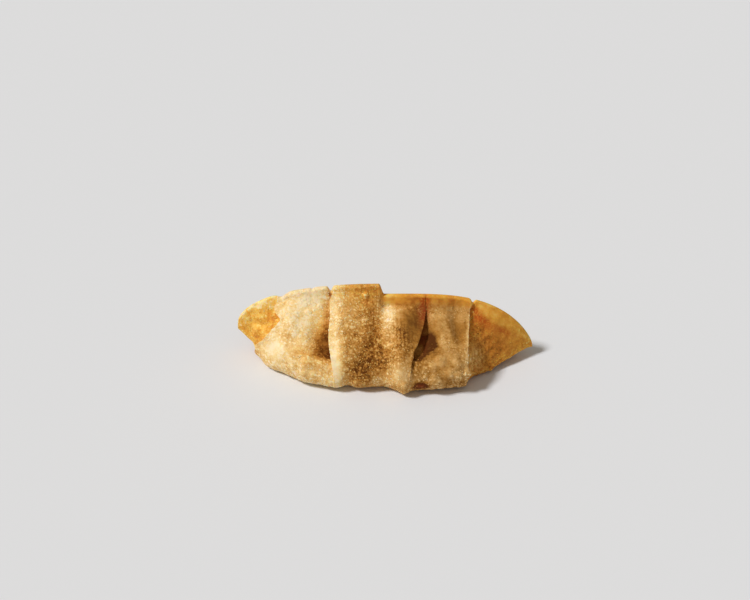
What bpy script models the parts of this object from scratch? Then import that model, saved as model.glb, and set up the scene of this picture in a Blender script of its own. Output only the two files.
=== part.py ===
"""One pan-fried gyoza, solid, standing on its flat base.

The dumpling is a half moon of dough. Its crest is a thin pressed rim that arches over the filling,
its front is gathered into broad pleats that overlap like tiles, and its two ends run out into thin
ears that lift off the ground. The whole is one closed loft: a ring of points goes round the section
(crest, pleated front, front foot, base, back foot, plain back) and travels from the left ear to the
right one. Each pleat is then raised on one side of a line and sunk on the other.

X runs along the crest, the pleated front faces -Y and Z is up. Sizes are in millimetres and are
turned into metres when the mesh is made.
"""

import bpy
import numpy as np

MM_TO_M = 0.001

# Overall sizes
HALF_LENGTH = 45.0
RIM_HALF_THICKNESS = 0.85
TIP_HALF_THICKNESS = 0.55
RIM_TAPER_POWER = 4
TIP_CALM = 6.0
SEED = 11

# Height of the crest: one arch on the left and a lower, fuller one on the right
LEFT_TIP_HEIGHT = 9.0
LEFT_ARCH_RISE = 17.8
LEFT_ARCH_POWERS = (2.2, 0.58)
RIGHT_TIP_HEIGHT = 3.9
RIGHT_ARCH_RISE = 19.3
RIGHT_ARCH_POWERS = (3.6, 0.77)

# The belly takes an easy blend of the two arches, and the rim steps from one to the other
BELLY_BLEND = (-14.0, 12.0)
RIM_BLEND = (-1.9, -0.3)
RIM_BLEND_SHARE = 0.3

# Nicks in the rim: place, half width, depth. They fade out at this share of the way down
RIM_NICKS = ((-31.2, 1.6, 1.2), (-21.9, 0.5, 0.5), (-16.4, 0.7, 1.7), (26.4, 0.6, 1.2))
RIM_NICK_SHARE = 0.14

# How far back the crest bends towards each tip
CREST_PLACE = 0.5
LEFT_BEND = 5.5
RIGHT_BEND = 1.5

# Underside of the ears above the ground: where it leaves the ground, height at the tip, power
LEFT_LIFT = (-35.0, 6.7, 1.4)
RIGHT_LIFT = (28.0, 2.9, 0.9)

# How far the front stands out from the crest, at stations along the dumpling
FRONT_REACH = (
    (-45.0, 0.6),
    (-41.0, 1.6),
    (-39.0, 5.4),
    (-34.0, 11.0),
    (-27.0, 16.2),
    (-23.0, 18.4),
    (-12.0, 18.8),
    (-1.0, 18.8),
    (5.0, 20.6),
    (20.0, 19.4),
    (23.6, 18.2),
    (27.0, 13.4),
    (35.0, 7.2),
    (41.0, 3.0),
    (45.0, 0.6),
)

# The plain back
BACK_REACH = 12.5
BACK_HALF_LENGTH = 41.0
BACK_POWERS = (2.4, 0.7)

# Feet: height and depth of the rounding between the walls and the base, and the largest shares of
# the height and the width that they take
FRONT_FOOT = (5.0, 5.5)
EAR_FOOT = (1.6, 1.6)
BACK_FOOT_HEIGHT = 6.0
FOOT_SHARES = (0.3, 0.45)

# Where the front swells to its full belly and where it flattens into the ears
BELLY_LEFT = (-41.0, -28.0)
BELLY_RIGHT = (25.0, 31.0)

# Fullness of the walls: how far they hang straight below the rim and rise straight from the feet
FRONT_HANG = (0.4, 0.36)
FRONT_STAND = 0.48
BACK_STAND = 0.45
BACK_HANG = 0.65

# The share of the way down the front is 0 at the crest, 1 at the widest line and 1.2 at the base.
BASE_SHARE = 1.2

# A pleat has the way its edge faces, the path of the edge, the lift of the upper layer and how far
# it reaches, the hollow beside it and its reach, the half width of the edge, its overhang, and how
# much and how far its lip rounds off. Paths, lifts and hollows are given at shares of the way down.
# A pleat whose lift and hollow add up to the full curl overhangs and rounds off all it can.
FULL_CURL = 2.0
PLEATS = (
    {
        "faces": -1,
        "path": (
            (0.0, -32.6),
            (0.16, -32.8),
            (0.3, -31.6),
            (0.39, -30.3),
            (0.46, -31.3),
            (0.6, -34.2),
            (0.8, -38.0),
            (1.2, -39.6),
        ),
        "lift": ((0.0, 0.6), (0.2, 1.5), (0.4, 1.1), (0.6, 1.5), (0.85, 0.9), (1.2, 0.2)),
        "hollow": ((0.0, 0.4), (0.2, 1.1), (0.4, 1.7), (0.6, 1.1), (0.85, 0.3), (1.2, 0.0)),
        "reach": 5.0,
        "hollow reach": ((0.0, 4.0), (1.2, 4.0)),
        "edge": 0.5,
        "overhang": 0.7,
        "lip": (0.3, 1.2),
    },
    {
        "faces": -1,
        "path": ((0.0, -15.8), (0.14, -16.4), (0.3, -16.1), (0.6, -16.4), (0.86, -15.5), (1.2, -15.2)),
        "lift": ((0.0, 0.3), (0.12, 0.8), (0.5, 1.8), (0.75, 1.7), (1.0, 0.5), (1.2, 0.0)),
        "hollow": ((0.0, 0.3), (0.12, 0.5), (0.35, 1.1), (0.6, 3.3), (0.74, 3.1), (0.87, 0.6), (1.2, 0.0)),
        "reach": 8.5,
        "hollow reach": ((0.0, 2.0), (0.3, 3.8), (0.6, 6.0), (0.8, 5.5), (1.2, 4.0)),
        "edge": 0.5,
        "overhang": 0.85,
        "lip": (1.1, 1.9),
    },
    {
        "faces": 1,
        "path": ((0.0, -0.4), (0.13, -1.6), (0.3, -3.2), (0.6, -3.8), (0.85, -2.8), (1.2, -2.4)),
        "lift": ((0.0, 0.0), (0.15, 0.3), (0.5, 0.4), (0.8, 0.2), (1.2, 0.0)),
        "hollow": ((0.0, 0.0), (0.15, 0.7), (0.4, 1.3), (0.7, 1.1), (0.95, 0.4), (1.2, 0.0)),
        "reach": 4.0,
        "hollow reach": ((0.0, 4.4), (1.2, 4.4)),
        "edge": 2.6,
        "overhang": 0.0,
        "lip": (0.0, 1.0),
    },
    {
        "faces": 1,
        "path": ((0.0, 12.1), (0.14, 11.9), (0.3, 11.4), (0.4, 10.8), (0.6, 9.1), (0.68, 8.0), (1.2, 7.2)),
        "lift": ((0.0, 0.2), (0.15, 0.6), (0.4, 1.1), (0.65, 1.1), (0.8, 0.4), (1.2, 0.0)),
        "hollow": ((0.0, 0.3), (0.15, 1.4), (0.35, 2.3), (0.5, 2.7), (0.64, 2.5), (0.78, 0.8), (1.2, 0.0)),
        "reach": 6.0,
        "hollow reach": ((0.0, 0.7), (0.2, 1.0), (0.33, 2.0), (0.48, 4.4), (0.62, 4.6), (0.78, 2.2)),
        "edge": 0.5,
        "overhang": 0.85,
        "lip": (0.9, 2.2),
    },
    {
        "faces": 1,
        "path": ((0.0, 19.4), (0.12, 19.6), (0.36, 20.2), (0.5, 21.0), (0.58, 21.8), (1.2, 23.0)),
        "lift": ((0.0, 0.0), (0.12, 0.2), (0.45, 0.5), (0.62, 0.1), (0.75, 0.0), (1.2, 0.0)),
        "hollow": ((0.0, 0.0), (0.12, 0.3), (0.25, 0.9), (0.45, 1.1), (0.56, 0.8), (0.66, 0.0), (1.2, 0.0)),
        "reach": 3.0,
        "hollow reach": ((0.0, 3.2), (0.3, 4.2), (0.5, 4.2), (0.6, 3.0), (1.2, 2.0)),
        "edge": 1.7,
        "overhang": 0.0,
        "lip": (0.0, 1.0),
    },
    {
        "faces": 1,
        "path": ((0.0, 26.2), (0.12, 25.5), (0.3, 25.2), (0.51, 24.9), (0.71, 24.4), (1.2, 24.2)),
        "lift": ((0.0, 0.5), (0.3, 0.8), (0.8, 0.6), (1.2, 0.3)),
        "hollow": ((0.0, 0.4), (0.3, 0.8), (0.8, 0.7), (1.2, 0.3)),
        "reach": 2.0,
        "hollow reach": ((0.0, 5.0), (1.2, 5.0)),
        "edge": 0.4,
        "overhang": 0.45,
        "lip": (0.25, 1.0),
    },
)

# Broad swellings (positive) and valleys (negative) of the front: place along, share of the way
# down, half width along, half width down, height, and how far the place moves along per share down
SWELLINGS = (
    (-27.5, 0.3, 4.2, 0.26, 1.6, -6.0),
    (-33.0, 0.85, 6.0, 0.3, 1.0, 0.0),
    (-11.0, 0.45, 5.0, 0.45, 0.4, 0.0),
    (4.6, 0.34, 4.6, 0.2, 2.3, 0.0),
    (3.0, 0.13, 5.0, 0.05, -0.7, 0.0),
    (5.0, 0.75, 3.6, 0.3, 1.4, 2.0),
    (2.5, 0.56, 3.6, 0.09, -0.6, 0.0),
    (-6.5, 0.83, 4.0, 0.12, -0.7, 0.0),
    (5.7, 1.08, 1.5, 0.10, 1.1, 0.0),
    (16.6, 0.3, 2.6, 0.3, 0.6, 2.5),
    (19.0, 0.85, 5.5, 0.18, 1.0, 0.0),
    (-15.5, 1.04, 3.0, 0.10, 1.1, 0.0),
    (-11.3, 1.06, 1.4, 0.10, -0.9, 0.0),
    (-6.5, 1.02, 2.6, 0.10, 0.6, 0.0),
)

# The pressed flange under the crest and the soft groove where the belly swells out below it
FLANGE_SHARE = 0.13
FLANGE_HALF_WIDTH = 0.06
FLANGE_GROOVE = 0.3
FLANGE_LEFT = (-1.0, 2.0)
FLANGE_RIGHT = (22.0, 27.0)

# The groove across the left ear: share of the way down, half width, depth, and where it starts
# and ends along
EAR_GROOVE = (0.42, 0.08, 0.6)
EAR_GROOVE_LEFT = (-46.0, -38.0)
EAR_GROOVE_RIGHT = (-36.0, -32.0)

# The way down in millimetres is about this share of the height and the reach together
ARC_FACTOR = 0.62

# Relief of the front fades in over the crest and out again above the flat base, between these turns
RELIEF_IN = (0.45, 1.0)
RELIEF_OUT = (2.3, 3.0)

# Uneven dough: waves of these lengths and this height, crossing at seeded angles, calm near the rim
LUMP_LENGTHS = (4.0, 11.0)
LUMP_HEIGHT = 0.035
LUMP_WAVES = 14
CALM_SHARE = (0.05, 0.35)

# The plain back is uneven too, in the front's pattern: how many times higher and longer its waves
# are, the length of its wall and the place where it starts in the pattern. It is calm at the heel
# and at the rim, between these turns
BACK_LUMPS_HIGHER = 3.0
BACK_LUMPS_LONGER = 2.4
BACK_WALL = 26.0
BACK_LUMPS_START = 31.0
BACK_RELIEF_IN = (4.2, 5.0)
BACK_RELIEF_OUT = (5.5, 6.0)

# Fine pleats fanning out low on the right ear: place, half spreads, spacing, slant, depth
EAR_FAN = ((29.5, 0.78), (3.6, 0.25), 2.3, 0.55, 0.22)

# Fry blisters: fields of domes by place along, way down, half spreads, count and radius range
BLISTER_FIELDS = (
    ((-26.0, 14.0), (9.0, 9.0), 7, (0.7, 1.3)),
    ((-8.0, 13.0), (8.0, 10.0), 7, (0.7, 1.3)),
    ((19.0, 23.0), (6.5, 5.0), 15, (1.0, 1.9)),
    ((30.0, 15.0), (4.0, 5.0), 8, (0.8, 1.4)),
    ((-5.9, 2.4), (0.01, 0.01), 1, (1.2, 1.3)),
)
BLISTER_RISE = 0.28

# Mesh: rings along the dumpling, points on each stretch of the ring
RINGS = 118
RING_POINTS = {"crest": 5, "front": 25, "front foot": 5, "base": 3, "back foot": 4, "back": 8}
EXTRA_RINGS = (
    (-32.6, 1.3, 1.8),
    (-15.8, 1.1, 3.4),
    (-0.4, 2.0, 1.0),
    (12.1, 1.1, 3.4),
    (19.4, 1.2, 0.9),
    (26.2, 0.9, 2.4),
)
TIP_EXTRA_RINGS = (0.93, 1.5)
RING_SEARCH_STEPS = 4001

# Small steps along and round the dumpling that tell which way its plain section faces
STEP_ALONG = 0.25
STEP_ROUND = 0.01
LAST_TURN_SHARE = 0.9999

# Dough colour and shine of the bare solid
DOUGH_COLOUR = (0.72, 0.47, 0.19, 1.0)
DOUGH_ROUGHNESS = 0.45


def smooth(start, end, value):
    """An S curve that is 0 at start and 1 at end."""
    share = np.clip((value - start) / (end - start), 0.0, 1.0)
    return share * share * (3.0 - 2.0 * share)


def bell(distance, half_width):
    return np.exp(-((distance / half_width) ** 2))


def along(value, stations):
    """A smooth curve through the stations that never overshoots between two of them."""
    places, sizes = np.array(stations, float).T
    gaps = np.diff(places)
    slopes = np.diff(sizes) / gaps
    tangents = np.zeros_like(sizes)
    for i in range(1, len(places) - 1):
        if slopes[i - 1] * slopes[i] > 0:
            near = 2 * gaps[i] + gaps[i - 1]
            far = gaps[i] + 2 * gaps[i - 1]
            tangents[i] = (near + far) / (near / slopes[i - 1] + far / slopes[i])
    value = np.clip(value, places[0], places[-1])
    i = np.clip(np.searchsorted(places, value) - 1, 0, len(places) - 2)
    t = (value - places[i]) / gaps[i]
    rise = t * t * (3 - 2 * t)
    return (
        (1 - rise) * sizes[i]
        + rise * sizes[i + 1]
        + t * (1 - t) ** 2 * gaps[i] * tangents[i]
        + t * t * (t - 1) * gaps[i] * tangents[i + 1]
    )


def bezier(start, first, second, end, t):
    rest = 1.0 - t
    return rest**3 * start + 3 * rest * rest * t * first + 3 * rest * t * t * second + t**3 * end


def lerp(start, end, share):
    return start + (end - start) * share


def crest_height(x, blend=BELLY_BLEND):
    reach = np.clip(np.abs(x) / HALF_LENGTH, 0.0, 1.0)
    outer, inner = LEFT_ARCH_POWERS
    left = LEFT_TIP_HEIGHT + LEFT_ARCH_RISE * (1 - reach**outer) ** inner
    outer, inner = RIGHT_ARCH_POWERS
    right = RIGHT_TIP_HEIGHT + RIGHT_ARCH_RISE * (1 - reach**outer) ** inner
    return lerp(left, right, smooth(*blend, x))


def rim_rise(x, away):
    """What the step and the nicks of the rim add to its height, fading with the share away from it."""
    step = crest_height(x, RIM_BLEND) - crest_height(x)
    rise = step * (1 - smooth(0.0, RIM_BLEND_SHARE, away))
    for place, half_width, depth in RIM_NICKS:
        rise = rise - depth * bell(x - place, half_width) * (1 - smooth(0.0, RIM_NICK_SHARE, away))
    return rise


def crest_place(x):
    reach = x / HALF_LENGTH
    return CREST_PLACE + np.where(x < 0, LEFT_BEND, RIGHT_BEND) * reach**2


def crest_half_thickness(x):
    reach = np.clip(np.abs(x) / HALF_LENGTH, 0.0, 1.0)
    return lerp(TIP_HALF_THICKNESS, RIM_HALF_THICKNESS, np.sqrt(1 - reach**RIM_TAPER_POWER))


def underside(x):
    """Height of the base above the ground: nothing under the belly, rising under the ears."""
    start, rise, power = LEFT_LIFT
    left = rise * (np.clip(start - x, 0.0, None) / (start + HALF_LENGTH)) ** power
    start, rise, power = RIGHT_LIFT
    right = rise * (np.clip(x - start, 0.0, None) / (HALF_LENGTH - start)) ** power
    return left + right


def belly(x):
    return smooth(*BELLY_LEFT, x) * (1 - smooth(*BELLY_RIGHT, x))


def section(x, turn):
    """Y and Z of the plain section. The whole part of turn names the stretch of the ring."""
    top, bottom = crest_height(x), underside(x)
    half = crest_half_thickness(x)
    centre = crest_place(x)
    height = top - bottom
    front = np.maximum(along(x, FRONT_REACH), half)
    spread = np.clip(np.abs(x) / BACK_HALF_LENGTH, 0.0, 1.0)
    back = half + (BACK_REACH - RIM_HALF_THICKNESS) * (1 - spread ** BACK_POWERS[0]) ** BACK_POWERS[1]
    full = belly(x)
    most_rise, most_run = FOOT_SHARES[0] * height, FOOT_SHARES[1] * (front + back)
    foot_rise = np.minimum(lerp(EAR_FOOT[0], FRONT_FOOT[0], full), most_rise)
    foot_run = np.minimum(lerp(EAR_FOOT[1], FRONT_FOOT[1], full), most_run)
    back_rise = np.minimum(BACK_FOOT_HEIGHT, most_rise)
    back_run = np.minimum(back_rise, most_run)
    shoulder = top - half
    step = np.clip(turn - np.floor(turn), 0.0, 1.0)

    low = bottom + foot_rise
    straight_y = lerp(-half, -front, 1 / 3), lerp(-half, -front, 2 / 3)
    straight_z = lerp(shoulder, low, 1 / 3), lerp(shoulder, low, 2 / 3)
    full_y = -half - FRONT_HANG[0], -front
    full_z = shoulder - FRONT_HANG[1] * height, low + FRONT_STAND * height
    face_y = [lerp(a, b, full) for a, b in zip(straight_y, full_y)]
    face_z = [lerp(a, b, full) for a, b in zip(straight_z, full_z)]
    lean = np.arctan2(-half - face_y[0], shoulder - face_z[0])
    face = (
        bezier(-half * np.cos(lean), face_y[0], face_y[1], -front, step),
        bezier(shoulder + half * np.sin(lean), face_z[0], face_z[1], low, step),
    )

    angle = (np.pi - lean) * step
    crest = (half * np.cos(angle), shoulder + half * np.sin(angle))

    quarter = 0.5 * np.pi * step
    foot = (-front + foot_run * (1 - np.cos(quarter)), bottom + foot_rise * (1 - np.sin(quarter)))
    base = (lerp(-front + foot_run, back - back_run, step), bottom)
    heel = (back - back_run * (1 - np.sin(quarter)), bottom + back_rise * (1 - np.cos(quarter)))
    waist = bottom + back_rise
    stand, hang = lerp(waist, shoulder, BACK_STAND), lerp(waist, shoulder, BACK_HANG)
    rear = (bezier(back, back, half, half, step), bezier(waist, stand, hang, shoulder, step))
    stretches = (crest, face, foot, base, heel, rear)
    which = [np.floor(turn) == i for i in range(len(stretches))]
    y = np.select(which, [np.broadcast_to(s[0], x.shape) for s in stretches])
    z = np.select(which, [np.broadcast_to(s[1], x.shape) for s in stretches])
    return y + centre, z


def away_from_rim(turn):
    """Share of the way from the rim to the foot, down the front or down the back."""
    return np.where(turn < 3, np.clip(turn - 1, 0.0, 1.0), np.clip(6 - turn, 0.0, 1.0))


def way_down(turn):
    """Share of the way down the front: 0 over the crest, 1 at the widest line, 1.2 at the base."""
    return np.clip(turn - 1, 0.0, 1.0) + (BASE_SHARE - 1) * np.clip(turn - 2, 0.0, 1.0)


def front_weight(turn):
    """1 on the pleated front, fading out over the crest and to the flat base."""
    return smooth(*RELIEF_IN, turn) * (1 - smooth(*RELIEF_OUT, turn))


def pleat_relief(x, down):
    """Height of the pleats over the plain section and the sideways shift of their edges."""
    height = np.zeros_like(x)
    shift = np.zeros_like(x)
    for pleat in PLEATS:
        beyond = pleat["faces"] * (x - along(down, pleat["path"]))
        lift = along(down, pleat["lift"])
        hollow = along(down, pleat["hollow"])
        hollow_reach = along(down, pleat["hollow reach"])
        edge = pleat["edge"]
        share = smooth(-edge, edge, beyond)
        curl = np.clip((lift + hollow) / FULL_CURL, 0.0, 1.0)
        drop, roundness = pleat["lip"]
        raised = lift * bell(np.minimum(beyond, 0.0), pleat["reach"]) - drop * curl * bell(beyond, roundness)
        sunk = -hollow * bell(np.maximum(beyond, 0.0), hollow_reach)
        height += lerp(raised, sunk, share)
        turned = beyond / edge
        shift -= pleat["faces"] * pleat["overhang"] * curl * turned * np.exp(0.5 - 0.5 * turned**2)
    return height, shift


def swelling_relief(x, down, along_front):
    height = np.zeros_like(x)
    for place, share, half_along, half_down, rise, slant in SWELLINGS:
        centre = place + slant * (down - share)
        height += rise * bell(x - centre, half_along) * bell(down - share, half_down)
    ends = smooth(*FLANGE_LEFT, x) * (1 - smooth(*FLANGE_RIGHT, x))
    height -= FLANGE_GROOVE * ends * bell(down - FLANGE_SHARE, FLANGE_HALF_WIDTH)
    share, half_down, depth = EAR_GROOVE
    ends = smooth(*EAR_GROOVE_LEFT, x) * (1 - smooth(*EAR_GROOVE_RIGHT, x))
    height -= depth * ends * bell(down - share, half_down)
    (place, share), (half_along, half_down), spacing, slant, depth = EAR_FAN
    across = x * np.cos(slant) + along_front * np.sin(slant)
    fan = bell(x - place, half_along) * bell(down - share, half_down)
    return height + depth * fan * np.sin(2 * np.pi * across / spacing)


def lump_relief(x, along_front):
    rng = np.random.default_rng(SEED)
    height = np.zeros_like(x)
    for _ in range(LUMP_WAVES):
        length = rng.uniform(*LUMP_LENGTHS)
        angle = rng.uniform(0, np.pi)
        phase = rng.uniform(0, 2 * np.pi)
        across = x * np.cos(angle) + along_front * np.sin(angle)
        height += np.sin(2 * np.pi * across / length + phase)
    return LUMP_HEIGHT * height


def back_relief(x, turn):
    """Slow waves on the plain back, calm at the heel and at the rim."""
    wall = smooth(*BACK_RELIEF_IN, turn) * (1 - smooth(*BACK_RELIEF_OUT, turn))
    across, up = x / BACK_LUMPS_LONGER, BACK_WALL * turn / BACK_LUMPS_LONGER
    return BACK_LUMPS_HIGHER * wall * lump_relief(across + BACK_LUMPS_START, up)


def blister_relief(x, along_front):
    rng = np.random.default_rng(SEED + 1)
    height = np.zeros_like(x)
    for centre, spread, count, radii in BLISTER_FIELDS:
        for _ in range(count):
            place = centre[0] + rng.uniform(-1, 1) * spread[0]
            down = centre[1] + rng.uniform(-1, 1) * spread[1]
            radius = rng.uniform(*radii)
            distance = np.hypot(x - place, along_front - down) / radius
            height += BLISTER_RISE * radius * np.clip(1 - distance**2, 0.0, None)
    return height


def outward(x, turn):
    """Unit normal of the plain section, by small steps along and round the dumpling."""
    left, right = np.maximum(x - STEP_ALONG, -HALF_LENGTH), np.minimum(x + STEP_ALONG, HALF_LENGTH)
    whole = np.floor(turn)
    before = np.maximum(turn - STEP_ROUND, whole)
    after = np.minimum(turn + STEP_ROUND, whole + LAST_TURN_SHARE)
    y0, z0 = section(left, turn)
    y1, z1 = section(right, turn)
    v0, w0 = section(x, before)
    v1, w1 = section(x, after)
    lengthways = np.stack([right - left, y1 - y0, z1 - z0], -1)
    roundwise = np.stack([np.zeros_like(x), v1 - v0, w1 - w0], -1)
    normal = np.cross(roundwise, lengthways)
    return normal / np.linalg.norm(normal, axis=-1, keepdims=True)


def ring_turns(counts):
    """Places round the ring, by the count of points on each stretch."""
    return np.concatenate([i + np.arange(n) / n for i, n in enumerate(counts.values())])


def ring_places(count, down):
    """X of every ring at every share down the front, crowded at the pleat edges they follow."""
    fine = np.linspace(-HALF_LENGTH, HALF_LENGTH, RING_SEARCH_STEPS)
    density = np.ones_like(fine)
    for place, half_width, extra in EXTRA_RINGS:
        density += extra * bell(fine - place, half_width)
    tips = np.abs(fine) / HALF_LENGTH
    density += TIP_EXTRA_RINGS[1] * smooth(TIP_EXTRA_RINGS[0], 1.0, tips)
    total = np.concatenate([[0.0], np.cumsum(0.5 * (density[1:] + density[:-1]))])
    nominal = np.interp(np.linspace(0, total[-1], count), total, fine)
    anchors = [-HALF_LENGTH] + [p["path"][0][1] for p in PLEATS] + [HALF_LENGTH]
    moved = [np.full_like(down, -HALF_LENGTH)] + [along(down, p["path"]) for p in PLEATS]
    moved.append(np.full_like(down, HALF_LENGTH))
    places = np.empty((count, len(down)))
    for j in range(len(down)):
        places[:, j] = np.interp(nominal, anchors, [m[j] for m in moved])
    return places


def gyoza_grid(rings, counts):
    """Points of the finished surface, rings by places round the ring."""
    turn_row = ring_turns(counts)
    down_row = way_down(turn_row)
    slanted = ring_places(rings, down_row)
    upright = ring_places(rings, np.zeros_like(turn_row))
    x = lerp(slanted, upright, np.clip(turn_row - 3, 0.0, 1.0))
    turn = np.broadcast_to(turn_row, x.shape)
    down = way_down(turn)
    y, z = section(x, turn)
    normal = outward(x, turn)
    along_front = down * ARC_FACTOR * (crest_height(x) - underside(x) + along(x, FRONT_REACH))
    pleats, shift = pleat_relief(x, down)
    relief = pleats + swelling_relief(x, down, along_front)
    relief += lump_relief(x, along_front) * smooth(*CALM_SHARE, down) + blister_relief(x, along_front)
    slim = smooth(0.0, TIP_CALM, HALF_LENGTH - np.abs(x))
    weight = front_weight(turn) * slim
    relief = relief * weight + back_relief(x, turn) * slim
    shift = shift * weight
    z = z + rim_rise(x, away_from_rim(turn)) * slim
    points = np.stack([x + shift, y, z], -1) + normal * relief[..., None]
    return points


def closed_mesh(name, points):
    """The lofted skin with each end closed on a middle point."""
    rings, round_count = points.shape[:2]
    ends = np.stack([points[0].mean(0), points[-1].mean(0)])
    vertices = np.concatenate([points.reshape(-1, 3), ends])
    i = np.arange(rings - 1)[:, None] * round_count
    j = np.arange(round_count)[None, :]
    k = (j + 1) % round_count
    faces = np.stack([i + j, i + k, i + round_count + k, i + round_count + j], -1).reshape(-1, 4)
    left, right = rings * round_count, rings * round_count + 1
    last = (rings - 1) * round_count
    fans = [(left, k0, j0) for j0, k0 in zip(j[0], k[0])]
    fans += [(right, last + j0, last + k0) for j0, k0 in zip(j[0], k[0])]
    mesh = bpy.data.meshes.new(name)
    mesh.from_pydata(vertices.tolist(), [], faces.tolist() + [tuple(map(int, f)) for f in fans])
    mesh.validate()
    return mesh


def dough_material():
    material = bpy.data.materials.new("dough")
    material.use_nodes = True
    shader = material.node_tree.nodes["Principled BSDF"]
    shader.inputs["Base Color"].default_value = DOUGH_COLOUR
    shader.inputs["Roughness"].default_value = DOUGH_ROUGHNESS
    return material


def main():
    for old in list(bpy.data.objects):
        bpy.data.objects.remove(old)
    points = gyoza_grid(RINGS, RING_POINTS)
    middle = 0.5 * (points[..., :2].min((0, 1)) + points[..., :2].max((0, 1)))
    points[..., :2] -= middle
    mesh = closed_mesh("gyoza", points * MM_TO_M)
    mesh.materials.append(dough_material())
    for polygon in mesh.polygons:
        polygon.use_smooth = True
    gyoza = bpy.data.objects.new("gyoza", mesh)
    bpy.context.scene.collection.objects.link(gyoza)


if __name__ == "__main__":
    main()
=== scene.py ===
# %% [markdown]
# A pan-fried gyoza is a round sheet of wheat dough folded over a filling. The two halves are
# pressed together along a rim, and the front half is gathered into broad pleats that overlap. In
# this lesson we dress one gyoza: we open its plain solid, build a much finer skin from the same
# rules, let Geometry Nodes raise the fry bubbles, mix a dough material, and light it softly.

# %% Open the frame
import math

import bpy
import numpy as np
from mathutils import Matrix, Vector


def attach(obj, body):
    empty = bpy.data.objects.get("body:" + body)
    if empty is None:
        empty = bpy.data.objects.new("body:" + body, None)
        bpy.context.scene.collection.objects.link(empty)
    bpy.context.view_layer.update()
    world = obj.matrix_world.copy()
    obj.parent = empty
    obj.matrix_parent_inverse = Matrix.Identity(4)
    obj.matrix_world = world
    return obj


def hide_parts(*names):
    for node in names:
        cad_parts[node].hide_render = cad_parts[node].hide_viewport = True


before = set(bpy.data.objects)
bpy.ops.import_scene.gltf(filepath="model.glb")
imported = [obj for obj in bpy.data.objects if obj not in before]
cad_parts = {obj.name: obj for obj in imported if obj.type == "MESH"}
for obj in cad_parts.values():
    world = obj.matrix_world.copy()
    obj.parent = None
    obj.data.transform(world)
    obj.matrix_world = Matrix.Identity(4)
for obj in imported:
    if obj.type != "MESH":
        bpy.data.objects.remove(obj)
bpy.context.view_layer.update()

MM_TO_M = 0.001


# %% [markdown]
# Soft shapes are easier to build from a few small curves than from a heap of points. We need an S
# curve, a bell, a curve through stations, and a blend. Everything in the next cells is measured in
# millimetres, because that is how a cook would measure a gyoza. The mesh is turned into metres
# when it is made.

# %% Small curves
def smooth(start, end, value):
    """An S curve that is 0 at start and 1 at end."""
    share = np.clip((value - start) / (end - start), 0.0, 1.0)
    return share * share * (3.0 - 2.0 * share)


def between(rise, fall, value):
    """Up from 0 to 1 over the first span and down again over the second."""
    return smooth(*rise, value) * (1 - smooth(*fall, value))


def bell(distance, half_width):
    """1 in the middle, and fading out on both sides of it."""
    return np.exp(-((distance / half_width) ** 2))


def lerp(start, end, share):
    return start + (end - start) * share


def bezier(start, first, second, end, t):
    """A cubic Bezier curve from start to end that is pulled towards first and second."""
    rest = 1.0 - t
    return rest**3 * start + 3 * rest * rest * t * first + 3 * rest * t * t * second + t**3 * end


def along(value, stations):
    """A smooth curve through the stations that never overshoots between two of them."""
    places, sizes = np.array(stations, float).T
    gaps = np.diff(places)
    slopes = np.diff(sizes) / gaps
    tangents = np.zeros_like(sizes)
    for i in range(1, len(places) - 1):
        if slopes[i - 1] * slopes[i] > 0:
            near = 2 * gaps[i] + gaps[i - 1]
            far = gaps[i] + 2 * gaps[i - 1]
            tangents[i] = (near + far) / (near / slopes[i - 1] + far / slopes[i])
    value = np.clip(value, places[0], places[-1])
    i = np.clip(np.searchsorted(places, value) - 1, 0, len(places) - 2)
    t = (value - places[i]) / gaps[i]
    rise = t * t * (3 - 2 * t)
    return (
        (1 - rise) * sizes[i]
        + rise * sizes[i + 1]
        + t * (1 - t) ** 2 * gaps[i] * tangents[i]
        + t * t * (t - 1) * gaps[i] * tangents[i + 1]
    )


print("half way up the S curve:", float(smooth(0.0, 2.0, np.array(1.0))))

# %% [markdown]
# The crest is the pressed rim on top. It is 90 mm from tip to tip. Its left half is a plain arch,
# its right half a lower and fuller one, and where the thick middle pleat ends the rim steps down
# from one to the other. We could draw the rim as a curve object, but a formula lets every later
# step ask for its height at any place.

# %% The crest
HALF_LENGTH = 45.0
RIM_HALF_THICKNESS = 0.85
TIP_HALF_THICKNESS = 0.55
RIM_TAPER_POWER = 4
TIP_CALM = 6.0

# Height of the crest: one arch on the left and a lower, fuller one on the right. An arch has the
# height of its tip, its rise, and the two powers that shape it
LEFT_ARCH = (9.0, 17.8, 2.2, 0.58)
RIGHT_ARCH = (3.9, 19.3, 3.6, 0.77)

# The belly takes an easy blend of the two arches, and the rim steps from one to the other
BELLY_BLEND = (-14.0, 12.0)
RIM_BLEND = (-1.9, -0.3)
RIM_BLEND_SHARE = 0.3

# Nicks in the rim: place, half width, depth. They fade out at this share of the way down
RIM_NICKS = ((-31.2, 1.6, 1.2), (-21.9, 0.5, 0.5), (-16.4, 0.7, 1.7), (26.4, 0.6, 1.2))
RIM_NICK_SHARE = 0.14

# How far back the crest bends towards each tip
CREST_PLACE = 0.5
LEFT_BEND = 5.5
RIGHT_BEND = 1.5


def arch(x, tip_height, rise, outer, inner):
    reach = np.clip(np.abs(x) / HALF_LENGTH, 0.0, 1.0)
    return tip_height + rise * (1 - reach**outer) ** inner


def crest_height(x, blend=BELLY_BLEND):
    return lerp(arch(x, *LEFT_ARCH), arch(x, *RIGHT_ARCH), smooth(*blend, x))


def rim_rise(x, away):
    """What the step and the nicks of the rim add to its height, fading with the share away from it."""
    step = crest_height(x, RIM_BLEND) - crest_height(x)
    rise = step * (1 - smooth(0.0, RIM_BLEND_SHARE, away))
    for place, half_width, depth in RIM_NICKS:
        rise = rise - depth * bell(x - place, half_width) * (1 - smooth(0.0, RIM_NICK_SHARE, away))
    return rise


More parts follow.
